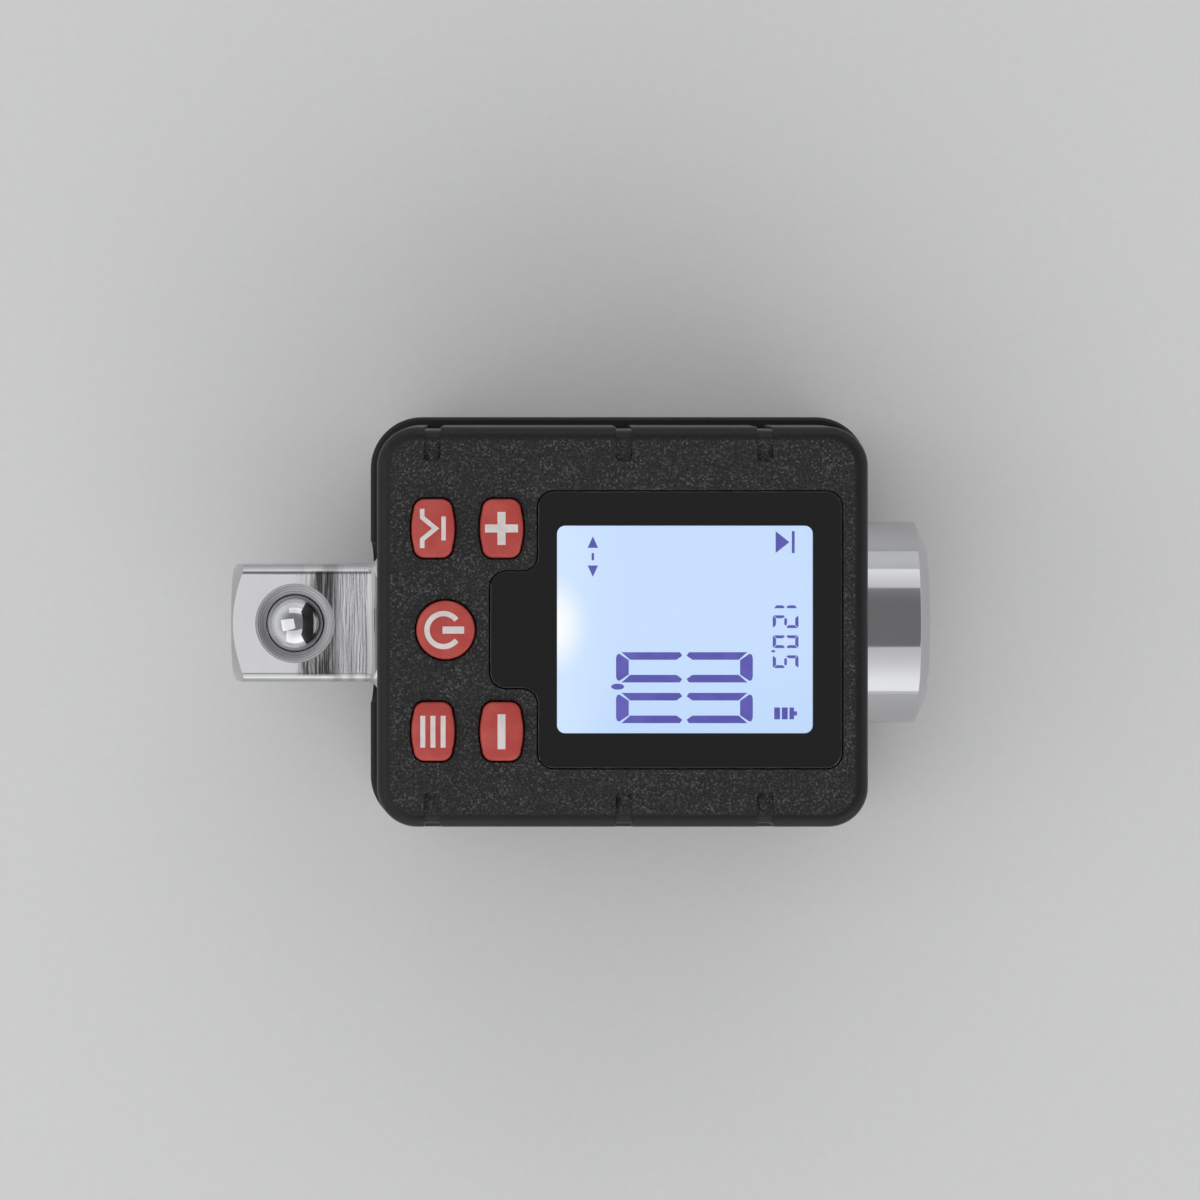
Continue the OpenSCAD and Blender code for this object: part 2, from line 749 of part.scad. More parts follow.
module power_key() { round_key(power_at); }
module plus_key() { barrel_key(plus_at); }
module minus_key() { barrel_key(minus_at); }
module peak_key() { barrel_key(peak_at); }
module memory_key() { barrel_key(memory_at); }
module power_dome() { dome(power_at); }
module plus_dome() { dome(plus_at); }
module minus_dome() { dome(minus_at); }
module peak_dome() { dome(peak_at); }
module memory_dome() { dome(memory_at); }

// Sealing rings in the shaft's grooves
seal_land = 0.5;

// Detent: the lip's level, the ball's rest height and the spring below it
ball_x = tip_x + ball_back;
drive_top = axis_z + drive_size / 2;
sink_half_angle = 75;
lip_t = 0.2;
lip_z = drive_top - (ball_sink_d - ball_lip_d) / 2 / tan(sink_half_angle);
ball_r = ball_d / 2;
ball_rest = lip_z - lip_t - sqrt(ball_r * ball_r - ball_lip_d * ball_lip_d / 4) - run_gap;
spring_wire = 0.35;
spring_r = 1.9;
spring_turns = 5;
spring_spare = 1;
spring_reach = ball_r + spring_wire + run_gap;
spring_top = ball_rest - sqrt(spring_reach * spring_reach - spring_r * spring_r);
spring_closed = 2 * spring_wire * (spring_turns + 1);
ball_bore_low = spring_top + spring_wire - ball_travel - spring_closed - spring_spare;

module square_drive() {
    lead = (drive_size - tip_flat_r) * tan(tip_lead_angle);
    intersection() {
        translate([tip_x, 0, axis_z]) rotate([90, 0, 90]) linear_extrude(drive_len)
            round_rect(drive_size, drive_size, drive_edge);
        union() {
            translate([tip_x, 0, axis_z]) rotate([0, 90, 0])
                cylinder(r1 = tip_flat_r, r2 = drive_size, h = lead);
            along_shaft(tip_x + lead, root_x + over, drive_size);
        }
    }
}

// Section of the fillet from the middle of a rounded long edge outward
module flare_section() {
    difference() {
        square([drive_edge + root_r, root_r]);
        translate([drive_edge + root_r, 0]) circle(r = root_r);
    }
}

// The square grown by the concave fillet that runs across its flats and ends at the shoulder
module root_fillet() {
    c = drive_size / 2 - drive_edge;
    intersection() {
        translate([root_x, 0, axis_z]) rotate([0, 90, 0]) {
            translate([-c, -c, 0]) cube([2 * c, 2 * c, root_r]);
            for (q = [0:3]) rotate([0, 0, 90 * q]) {
                translate([c, c, 0]) rotate_extrude(angle = 90) flare_section();
                translate([-c, c, 0]) rotate([90, 0, 90]) linear_extrude(2 * c) flare_section();
            }
        }
        along_shaft(root_x - over, shoulder_x + over, neck_d / 2);
    }
}

module seal_groove(x, d) {
    translate([x - seal_w / 2 - seal_gap, 0, axis_z]) rotate([0, 90, 0]) difference() {
        cylinder(r = d / 2 + over, h = seal_w + 2 * seal_gap);
        translate([0, 0, -over]) cylinder(r = d / 2 - seal_depth, h = seal_w + 2 * over);
    }
}

module seal(x, d) {
    color(rubber_tint) translate([x - seal_w / 2, 0, axis_z]) rotate([0, 90, 0]) difference() {
        cylinder(r = d / 2 + run_gap - seal_gap, h = seal_w);
        translate([0, 0, -over]) cylinder(r = d / 2 - seal_depth + seal_gap, h = seal_w + 2 * over);
    }
}

neck_seal_x = shoulder_x + seal_land + seal_w / 2;
socket_seal_x = body_x + cover_len / 2 - seal_land - seal_w;

module torsion_shaft() {
    hole = drive_size + 2 * socket_slack;
    color(steel_tint) difference() {
        union() {
            square_drive();
            root_fillet();
            along_shaft(shoulder_x, gauge_x0, neck_d / 2);
            intersection() {
                along_shaft(gauge_x0 - over, gauge_x1 + over, gauge_d / 2);
                translate([gauge_x0 - over, -gauge_flats / 2, axis_z - gauge_d])
                    cube([gauge_x1 - gauge_x0 + 2 * over, gauge_flats, 2 * gauge_d]);
            }
            along_shaft(gauge_x1, mouth_x - mouth_run, socket_d / 2);
            translate([mouth_x - mouth_run, 0, axis_z]) rotate([0, 90, 0])
                cylinder(r1 = socket_d / 2, r2 = socket_d / 2 - mouth_rise, h = mouth_run);
        }
        translate([mouth_x - socket_depth, -hole / 2, axis_z - hole / 2])
            cube([socket_depth + over, hole, hole]);
        for (turn = [0:90:270]) {
            translate([mouth_x - ball_back, 0, axis_z]) rotate([turn, 0, 0])
                translate([0, 0, ball_rest - axis_z]) sphere(r = ball_r + run_gap);
        }
        translate([ball_x, 0, ball_bore_low])
            cylinder(d = ball_d + 2 * run_gap, h = lip_z - lip_t - ball_bore_low);
        translate([ball_x, 0, lip_z - lip_t - over]) cylinder(d = ball_lip_d, h = lip_t + 2 * over);
        translate([ball_x, 0, lip_z]) cylinder(d1 = ball_lip_d, d2 = ball_sink_d, h = drive_top - lip_z);
        translate([ball_x, 0, drive_top]) cylinder(d = ball_sink_d, h = over);
        seal_groove(neck_seal_x, neck_d);
        seal_groove(socket_seal_x, socket_d);
        shaft_thread(neck_screw_x, neck_seat_z);
        shaft_thread(socket_screw_x, socket_seat_z);
    }
}

module shaft_thread(x, seat) {
    translate([x, 0, seat]) cylinder(r = shaft_shank / 2 + run_gap, h = shaft_screw_len + slip_gap);
}

module detent_ball() {
    color(steel_tint) translate([ball_x, 0, ball_rest]) sphere(r = ball_r);
}

// A coil spring swept as one closed tube of six-sided sections
module detent_spring() {
    per_turn = 16;
    sides = 6;
    last = spring_turns * per_turn;
    low = ball_bore_low + spring_wire;
    rise = spring_top - low;
    points = [
        for (i = [0:last], s = [0:sides - 1])
            let (a = 360 * i / per_turn, b = 360 * s / sides, r = spring_r + spring_wire * cos(b))
                [r * cos(a), r * sin(a), low + rise * i / last + spring_wire * sin(b)]
    ];
    walls = [
        for (i = [0:last - 1], s = [0:sides - 1])
            let (n = (s + 1) % sides, a = i * sides, b = a + sides)
                [a + s, b + s, b + n, a + n]
    ];
    thirds = [for (w = walls) each [[w[0], w[1], w[2]], [w[0], w[2], w[3]]]];
    foot = [for (s = [1:sides - 2]) [0, s, s + 1]];
    end = last * sides;
    head = [for (s = [1:sides - 2]) [end, end + s + 1, end + s]];
    pitch_gap = rise / spring_turns - 2 * spring_wire;
    echo(least_gap_between_turns = pitch_gap);
    color(steel_tint) translate([ball_x, 0, 0]) polyhedron(points, concat(thirds, foot, head));
}

gauge_pad_t = 0.15;
gauge_pad_len = 6;
gauge_pad_h = 4;
flex_w = 3;
flex_t = 0.2;

module strain_gauges() {
    color([0.75, 0.6, 0.35]) for (turn = [0, 1]) {
        mirror([0, turn, 0])
            translate([gauge_mid - gauge_pad_len / 2, gauge_flats / 2, axis_z - gauge_pad_h / 2])
                cube([gauge_pad_len, gauge_pad_t, gauge_pad_h]);
    }
}

module gauge_leads() {
    color([0.8, 0.5, 0.15]) for (turn = [0, 1]) {
        mirror([0, turn, 0]) translate([gauge_mid - flex_w / 2, gauge_flats / 2 + gauge_pad_t, axis_z])
            cube([flex_w, flex_t, board_low - axis_z]);
    }
}

module drive_seal() { seal(neck_seal_x, neck_d); }
module socket_seal() { seal(socket_seal_x, socket_d); }

module shaft_screws() {
    color(steel_tint) {
        translate([neck_screw_x, 0, neck_seat_z])
            screw(shaft_shank, shaft_head, shaft_head_h, shaft_screw_len);
        translate([socket_screw_x, 0, socket_seat_z])
            screw(shaft_shank, shaft_head, shaft_head_h, shaft_screw_len);
    }
}

// A coin cell: the wide can below and the narrower cap above
module coin_cell() {
    rim = 1.2;
    step = 0.4;
    cylinder(d = cell_d, h = cell_t - step);
    translate([0, 0, cell_t - step]) cylinder(d = cell_d - 2 * rim, h = step);
}

module coin_cells() {
    color(steel_tint) for (i = [0, 1]) {
        translate([battery_x, 0, cell_z + i * (cell_t + seal_gap)]) coin_cell();
    }
}

// Strip above the upper cell, with its tab outside the battery well
module negative_contact() {
    color(brass_tint) translate([battery_x - contact_w / 2, 0, well_top - contact_t - slip_gap])
        cube([contact_w, well_r + well_wall + tab_out, contact_t]);
}

// Strip beside the lower cell's can, with its tab above the battery well
module positive_contact() {
    color(brass_tint) translate([battery_x - contact_w / 2, -cell_d / 2 - contact_t - run_gap, cell_z])
        cube([contact_w, contact_t, well_top + well_roof + tab_out - cell_z]);
}

module battery_leads() {
    color([0.6, 0.1, 0.1]) {
        translate([battery_x, well_r + well_wall + tab_out - lead_r, well_top - slip_gap])
            cylinder(r = lead_r, h = board_low - well_top + slip_gap, $fn = 24);
        translate([
            battery_x - contact_w / 2 + lead_r, -cell_d / 2 - contact_t - run_gap - lead_r,
            well_top + well_roof
        ])
            cylinder(r = lead_r, h = board_low - well_top - well_roof, $fn = 24);
    }
}

module battery_cover() {
    color(shell_tint) difference() {
        translate([battery_x, 0, 0]) linear_extrude(door_t) round_rect(door_len, door_wid, door_r);
        at_door_screws() translate([0, 0, -over]) {
            cylinder(r = door_shank / 2 + slip_gap, h = door_t + 2 * over);
            cylinder(d = door_head + slip_gap, h = over + door_head_h);
        }
    }
}

module battery_cover_seal() {
    color(rubber_tint) translate([battery_x, 0, door_t]) difference() {
        cylinder(r = well_r + well_wall / 2, h = cell_lift);
        translate([0, 0, -over]) cylinder(r = well_r - slip_gap, h = cell_lift + 2 * over);
    }
}

module battery_cover_screws() {
    color(steel_tint) at_door_screws() translate([0, 0, door_head_h])
        screw(door_shank, door_head, door_head_h, door_screw_len);
}

module case_screws() {
    color(steel_tint) at_case_screws() translate([0, 0, case_seat_z])
        screw(case_shank, case_head, case_head_h, case_screw_len);
}

front_cover();
rear_cover();
display_window();
window_mask();
window_tape();
lcd_panel();
light_guide();
reflector_film();
backlight_led();
lcd_holder();
contact_strip();
main_board();
board_chips();
buzzer();
board_screws();
keypad_sheet();
power_key();
plus_key();
minus_key();
peak_key();
memory_key();
power_dome();
plus_dome();
minus_dome();
peak_dome();
memory_dome();
torsion_shaft();
detent_ball();
detent_spring();
strain_gauges();
gauge_leads();
drive_seal();
socket_seal();
shaft_screws();
coin_cells();
negative_contact();
positive_contact();
battery_leads();
battery_cover();
battery_cover_seal();
battery_cover_screws();
case_screws();
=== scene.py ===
import math

import bmesh
import bpy
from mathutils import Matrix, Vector


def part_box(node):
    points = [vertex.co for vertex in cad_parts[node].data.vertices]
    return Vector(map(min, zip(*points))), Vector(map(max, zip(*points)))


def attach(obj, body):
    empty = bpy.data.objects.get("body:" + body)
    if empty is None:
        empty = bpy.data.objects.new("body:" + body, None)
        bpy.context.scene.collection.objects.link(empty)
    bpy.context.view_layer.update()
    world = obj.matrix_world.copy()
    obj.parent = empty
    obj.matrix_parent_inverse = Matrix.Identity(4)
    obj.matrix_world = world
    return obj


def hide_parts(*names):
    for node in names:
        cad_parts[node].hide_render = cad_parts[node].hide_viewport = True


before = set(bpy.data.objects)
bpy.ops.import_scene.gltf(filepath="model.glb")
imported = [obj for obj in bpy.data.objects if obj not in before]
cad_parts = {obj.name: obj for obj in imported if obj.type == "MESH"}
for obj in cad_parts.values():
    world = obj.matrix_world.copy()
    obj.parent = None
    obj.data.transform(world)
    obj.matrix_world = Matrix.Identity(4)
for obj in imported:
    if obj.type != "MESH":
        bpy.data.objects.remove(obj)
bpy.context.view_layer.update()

# The torsion shaft: one bar of alloy steel with a square drive at one end and a square socket at the
# other. The drive's flats are milled and the socket is turned, so both keep fine tool marks under
# their bright chrome plate, and the edges are broken before plating.
MM = 0.001
AXIS_LEVEL = 17.5 * MM
FLAT_LEVEL = AXIS_LEVEL + 6.35 * MM
SHAFT_EDGE = 0.10 * MM
SHAFT_WELD = 0.04 * MM

# The wide chamfers at both ends: how far out they start, and how much their faces lean along the shaft
END_CHAMFERS = 33 * MM
END_LEAN = (0.86, 0.94)

# The staked ring around the ball: its middle, its radius, and its turned grooves in radians to a metre
ball_low, ball_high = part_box("detent_ball")
BALL_PLACE = ((ball_low.x + ball_high.x) / 2, 0, FLAT_LEVEL)
STAKED_R = 4.25 * MM
RING_TURNS = 24000

# Along the drive: where the tool marks set in and end, and where a painted dark reflection lies on the
# upper flat
MARKS_FROM = (-31.5 * MM, -27.0 * MM)
MARKS_TO = (-22.6 * MM, -21.8 * MM)
DARK_REFLECTION_FROM = (-30.0 * MM, -29.0 * MM)
DARK_REFLECTION_TO = (-27.0 * MM, -25.6 * MM)
DARK_REFLECTION_SLANT = 0.14
DARK_REFLECTION_LEVELS = (FLAT_LEVEL - 0.15 * MM, FLAT_LEVEL - 0.02 * MM)

# A copied solid: how near points are merged, and the angles that count as flat, creased and cornered
FINE_WELD = 0.002 * MM
FLAT_WITHIN = math.radians(0.3)
CREASED_FROM = math.radians(24)
BROKEN_FROM = math.radians(30)

CHROME = (0.55, 0.55, 0.56)
CHROME_DULL = (0.37, 0.37, 0.38)
# The colour of the painted dark reflection on the drive's upper flat
CHROME_REFLECTED_DARK = (0.06, 0.06, 0.062)


def new_finish(name):
    """A new material, its node tree and its surface shader."""
    material = bpy.data.materials.new(name)
    material.use_nodes = True
    return material, material.node_tree, material.node_tree.nodes["Principled BSDF"]


def put(tree, kind, sockets=None, **settings):
    """Adds a shader node. Each socket gets a value, or a link where the value is another node's socket."""
    made = tree.nodes.new("ShaderNode" + kind)
    for key, value in settings.items():
        setattr(made, key, value)
    join(tree, made, sockets or {})
    return made


def join(tree, made, sockets):
    for key, value in sockets.items():
        if isinstance(value, bpy.types.NodeSocket):
            tree.links.new(value, made.inputs[key])
        else:
            made.inputs[key].default_value = value


def shift(tree, amount, colour, high):
    """A colour, given as a socket or as four numbers, moved towards high by amount."""
    mix = put(tree, "Mix", {0: amount, 6: colour, 7: (*high, 1)}, data_type="RGBA")
    return mix.outputs[2]


def between(tree, amount, low, high):
    """The colour between low and high."""
    return shift(tree, amount, (*low, 1), high)


def spread(tree, value, low, high, to_low=0.0, to_high=1.0, smooth=False):
    """Maps a value from low..high to to_low..to_high, and keeps it there."""
    kind = "SMOOTHSTEP" if smooth else "LINEAR"
    sockets = {"Value": value, "From Min": low, "From Max": high, "To Min": to_low, "To Max": to_high}
    return put(tree, "MapRange", sockets, interpolation_type=kind).outputs["Result"]


def combine(tree, how, first, second):
    return put(tree, "Math", {0: first, 1: second}, operation=how).outputs[0]


def vectors(tree, how, first, *second):
    """What a sum on one or two vectors puts out: a vector first, and a number called Value."""
    return put(tree, "VectorMath", dict(enumerate((first, *second))), operation=how).outputs


def product(tree, first, *others):
    """All the values multiplied together."""
    for other in others:
        first = combine(tree, "MULTIPLY", first, other)
    return first


def place_on(tree):
    return put(tree, "TexCoord").outputs["Object"]


def new_group(name, inputs, outputs):
    """A shader group with named number inputs, and the sockets to build it from."""
    group = bpy.data.node_groups.new(name, "ShaderNodeTree")
    for label, start in inputs.items():
        socket = group.interface.new_socket(label, in_out="INPUT", socket_type="NodeSocketFloat")
        socket.default_value = start
    for label in outputs:
        group.interface.new_socket(label, in_out="OUTPUT", socket_type="NodeSocketFloat")
    return group, group.nodes.new("NodeGroupInput").outputs, group.nodes.new("NodeGroupOutput")


def use_group(tree, group, values):
    made = tree.nodes.new("ShaderNodeGroup")
    made.node_tree = group
    join(tree, made, values)
    return made.outputs


# Fine lines across the shaft, as a cutter or a lathe leaves them, with broad bands of tone
tool_marks, marks_in, marks_out = new_group(
    "tool_marks", {"Lines": 9000.0, "Wander": 160.0}, ["Height", "Tone"])
axes = put(tool_marks, "SeparateXYZ", {0: place_on(tool_marks)}).outputs
stretched = put(tool_marks, "CombineXYZ", {
    "X": product(tool_marks, axes["X"], marks_in["Lines"]),
    "Y": product(tool_marks, axes["Y"], marks_in["Wander"]),
    "Z": product(tool_marks, axes["Z"], marks_in["Wander"])})
lines = put(tool_marks, "TexNoise", {"Vector": stretched.outputs[0], "Scale": 1.0, "Detail": 4.0})
bands = put(tool_marks, "TexNoise", {"Vector": stretched.outputs[0], "Scale": 0.12, "Detail": 2.0})
join(tool_marks, marks_out, {"Height": lines.outputs["Fac"], "Tone": bands.outputs["Fac"]})

# Rubbed and finger-marked patches, which change the gloss a little
handling, handling_in, handling_out = new_group("handling", {"Patches": 120.0}, ["Smudge", "Scratch"])
at = place_on(handling)
patches = put(handling, "TexNoise", {"Vector": at, "Scale": handling_in["Patches"], "Detail": 5.0})
smudge = spread(handling, patches.outputs["Fac"], 0.42, 0.68)
drawn = vectors(handling, "MULTIPLY", at, (220.0, 2600.0, 900.0))[0]
hairs = put(handling, "TexNoise", {"Vector": drawn, "Scale": 1.0, "Detail": 2.0, "Distortion": 0.6})
scratch = spread(handling, hairs.outputs["Fac"], 0.66, 0.74)
join(handling, handling_out, {"Smudge": smudge, "Scratch": scratch})


def worked_copy(node, name, edge, weld=FINE_WELD):
    """A copy of a solid's mesh with its sharp edges broken by edge, and even shading on its flats."""
    work = bmesh.new()
    work.from_mesh(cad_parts[node].data)
    bmesh.ops.remove_doubles(work, verts=work.verts, dist=weld)
    bmesh.ops.dissolve_limit(work, angle_limit=FLAT_WITHIN, verts=work.verts, edges=work.edges)
    corners = [e for e in work.edges if len(e.link_faces) == 2 and e.calc_face_angle() > BROKEN_FROM]
    bmesh.ops.bevel(
        work, geom=corners, offset=edge, offset_type="OFFSET", segments=2, profile=0.5,
        affect="EDGES", clamp_overlap=False)
    mesh = bpy.data.meshes.new(name)
    work.to_mesh(mesh)
    work.free()
    mesh.polygons.foreach_set("use_smooth", [True] * len(mesh.polygons))
    mesh.set_sharp_from_angle(angle=CREASED_FROM)
    piece = bpy.data.objects.new(name, mesh)
    bpy.context.collection.objects.link(piece)
    even = piece.modifiers.new("even shading", "WEIGHTED_NORMAL")
    even.keep_sharp = True
    return settle(piece)


def settle(piece):
    """Turns what the modifiers make into the piece's own plain mesh."""
    state = bpy.context.evaluated_depsgraph_get()
    made = bpy.data.meshes.new_from_object(piece.evaluated_get(state), depsgraph=state)
    piece.modifiers.clear()
    piece.data = made
    return piece


def dress(piece, material):
    piece.data.materials.clear()
    piece.data.materials.append(material)
    for face in piece.data.polygons:
        face.material_index = 0


def shade_as_cones(piece):
    """Gives the wide chamfers at both ends the shading of true cones round the shaft's axis."""
    mesh = piece.data
    shading = [corner.vector.copy() for corner in mesh.corner_normals]
    for face in mesh.polygons:
        lean = face.normal.x
        if abs(face.center.x) > END_CHAMFERS and END_LEAN[0] < abs(lean) < END_LEAN[1]:
            for i in face.loop_indices:
                place = mesh.vertices[mesh.loops[i].vertex_index].co
                out = Vector((0, place.y, place.z - AXIS_LEVEL)).normalized()
                shading[i] = Vector((lean, 0, 0)) + out * math.sqrt(1 - lean * lean)
    mesh.normals_split_custom_set(shading)


chrome, tree, skin = new_finish("chrome_plate")
marks = use_group(tree, tool_marks, {"Lines": 5200.0, "Wander": 260.0})
rubbed = use_group(tree, handling, {"Patches": 180.0})
spot = place_on(tree)
axes = put(tree, "SeparateXYZ", {0: spot}).outputs
along = axes["X"]
to_ball = vectors(tree, "DISTANCE", spot, BALL_PLACE)["Value"]
staked = spread(tree, to_ball, STAKED_R, STAKED_R + 0.05 * MM, 1.0, 0.0)
open_flat = combine(tree, "SUBTRACT", 1.0, staked)
rings = put(tree, "Math", {0: product(tree, to_ball, RING_TURNS)}, operation="SINE").outputs[0]

# The relief: tool marks that fade out on both sides, and turned rings on the staked ring
marks_set_in = spread(tree, along, *MARKS_FROM, 0.04, 1.0, smooth=True)
marks_end = spread(tree, along, *MARKS_TO, 1.0, 0.03)
cut_lines = product(tree, marks_set_in, marks_end, marks["Height"])
relief = combine(
    tree, "ADD", product(tree, cut_lines, open_flat), product(tree, rings, 0.08, staked))
bump = put(tree, "Bump", {"Height": relief, "Strength": 0.9, "Distance": 0.03 * MM})

# The tone: duller bands among the marks and on the rings, and a painted dark reflection on the upper flat
# beside the ball, broken into streaks by the marks
streak = product(tree, spread(tree, marks["Tone"], 0.52, 0.36), marks_set_in, marks_end)
ring_tone = product(tree, staked, spread(tree, rings, -0.6, 0.6))
plate = between(tree, combine(tree, "MAXIMUM", ring_tone, streak), CHROME, CHROME_DULL)
# Painted reflection: the upper flat beside the ball is darkened where the mirror would show dark
# surroundings
slanted = combine(tree, "SUBTRACT", along, product(tree, axes["Y"], DARK_REFLECTION_SLANT))
painted_reflection_zone = product(
    tree, spread(tree, slanted, *DARK_REFLECTION_FROM, smooth=True),
    spread(tree, along, *DARK_REFLECTION_TO, 1.0, 0.0, smooth=True), open_flat,
    spread(tree, axes["Z"], *DARK_REFLECTION_LEVELS))
painted_dark_reflection = product(tree, painted_reflection_zone, spread(tree, marks["Height"], 0.66, 0.46, 0.3, 1.0))
plate = shift(tree, painted_dark_reflection, plate, CHROME_REFLECTED_DARK)

worn = combine(tree, "ADD", product(tree, rubbed["Smudge"], 0.05), product(tree, cut_lines, 0.12))
gloss = combine(tree, "ADD", worn, spread(tree, staked, 0.0, 1.0, 0.07, 0.36))
join(tree, skin, {"Base Color": plate, "Metallic": 1.0, "Roughness": gloss, "Normal": bump.outputs[0]})

shaft = worked_copy("torsion_shaft", "plated_shaft", SHAFT_EDGE, SHAFT_WELD)
shade_as_cones(shaft)
dress(shaft, chrome)
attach(shaft, "housing")
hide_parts("torsion_shaft")

# The detent: a hardened bearing ball on a coil spring, kept in by the staked ring around it. The ball
# is ground and polished, and shows only faint wear where sockets slide over it.
ball_steel, tree, skin = new_finish("bearing_ball")
rubbed = use_group(tree, handling, {"Patches": 700.0})
join(tree, skin, {
    "Base Color": between(tree, rubbed["Smudge"], (0.70, 0.70, 0.71), (0.60, 0.60, 0.61)),
    "Metallic": 1.0,
    "Roughness": combine(tree, "ADD", product(tree, rubbed["Scratch"], 0.12), 0.06)})
dress(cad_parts["detent_ball"], ball_steel)

WIRE_TINT = (0.42, 0.42, 0.43)
wire_steel, tree, skin = new_finish("drawn_wire")
marks = use_group(tree, tool_marks, {"Lines": 1500.0, "Wander": 9000.0})
join(tree, skin, {
    "Base Color": between(tree, marks["Tone"], WIRE_TINT, CHROME_DULL), "Metallic": 1.0,
    "Roughness": spread(tree, marks["Height"], 0.3, 0.7, 0.25, 0.45)})
dress(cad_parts["detent_spring"], wire_steel)

# The measuring flats: foil gauges bonded to the slender part of the shaft, with their ribbons to the
# board. Both are amber polyimide film over etched copper tracks.
FILM_AMBER = (0.52, 0.26, 0.06)
FILM_TRACK = (0.62, 0.40, 0.22)
foil, tree, skin = new_finish("polyimide_foil")
stripes = put(
    tree, "TexWave", {"Vector": place_on(tree), "Scale": 900.0, "Distortion": 0.4}, bands_direction="X")
join(tree, skin, {
    "Base Color": between(tree, spread(tree, stripes.outputs["Fac"], 0.45, 0.55), FILM_AMBER, FILM_TRACK),
    "Roughness": spread(tree, stripes.outputs["Fac"], 0.0, 1.0, 0.3, 0.42)})
for name in ("strain_gauges", "gauge_leads"):
    dress(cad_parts[name], foil)

# The sealing rings and the gasket under the battery cover: black moulded rubber, slightly bloomed
RUBBER_BLACK = (0.018, 0.018, 0.019)
RUBBER_BLOOM = (0.045, 0.045, 0.046)
rubber, tree, skin = new_finish("black_rubber")
rubbed = use_group(tree, handling, {"Patches": 400.0})
join(tree, skin, {
    "Base Color": between(tree, rubbed["Smudge"], RUBBER_BLACK, RUBBER_BLOOM),
    "Roughness": spread(tree, rubbed["Smudge"], 0.0, 1.0, 0.55, 0.75)})
for name in ("drive_seal", "socket_seal", "battery_cover_seal"):
    dress(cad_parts[name], rubber)

# The two halves of the housing and the battery cover: injection-moulded black ABS. The mould's flat
# faces are spark-eroded, which prints a coarse grain with tiny facets, whose glints are painted into the
# colour as light specks, and the rounded rims are left satin. The rims pick up a slight shine where hands
# rub them.
GRAIN_BLACK = (0.008, 0.008, 0.0085)
# The colour of the painted glints, light specks standing for facets that catch the light
GRAIN_GLINT = (0.15, 0.15, 0.152)
SATIN_BLACK = (0.009, 0.009, 0.0095)
COVER_EDGE = 0.10 * MM
cover_low, cover_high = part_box("front_cover")
COVER_MIDDLE = ((cover_low.x + cover_high.x) / 2, 0)
FACE_GRAIN = {"half": (24.5 * MM, 19.75 * MM), "corner": 3.0 * MM, "level": 39.2 * MM}
BACK_GRAIN = {"half": (25.3 * MM, 20.5 * MM), "corner": 3.6 * MM, "level": 0.1 * MM}
GRAIN_FADE = 0.35 * MM

# The grain: its pits, a mottled tone, and Glint, a mask of painted highlights where the facets catch the
# light
spark_grain, grain_in, grain_out = new_group("spark_grain", {"Cells": 6000.0}, ["Height", "Glint", "Tone"])
at = place_on(spark_grain)
pits = put(spark_grain, "TexNoise", {
    "Vector": at, "Scale": grain_in["Cells"], "Detail": 3.0, "Roughness": 0.65})
facets = put(spark_grain, "TexVoronoi", {"Vector": at, "Scale": grain_in["Cells"]})
pick = put(spark_grain, "SeparateColor", {0: facets.outputs["Color"]}).outputs[0]
lit = spread(spark_grain, pick, 0.35, 1.0)
small = spread(spark_grain, facets.outputs["Distance"], 0.25, 0.65, 1.0, 0.0)
cloud = put(spark_grain, "TexNoise", {"Vector": at, "Scale": 380.0, "Detail": 3.0})
gathered = spread(spark_grain, cloud.outputs["Fac"], 0.38, 0.62, 0.45, 1.0)
painted_glints = product(spark_grain, lit, small, gathered)
join(spark_grain, grain_out, {"Height": pits.outputs["Fac"], "Glint": painted_glints, "Tone": cloud.outputs["Fac"]})


def inside_plate(tree, middle, half, corner, soft):
    """1 inside a rounded rectangle seen along Z, 0 outside, with a soft border."""
    flat = vectors(tree, "MULTIPLY", place_on(tree), (1, 1, 0))[0]
    folded = vectors(tree, "ABSOLUTE", vectors(tree, "SUBTRACT", flat, (*middle, 0))[0])[0]
    past = vectors(tree, "SUBTRACT", folded, (half[0] - corner, half[1] - corner, 0))[0]
    clear = vectors(tree, "MAXIMUM", past, (0, 0, 0))[0]
    reach = vectors(tree, "LENGTH", clear)["Value"]
    return spread(tree, reach, corner - soft, corner, 1.0, 0.0, smooth=True)


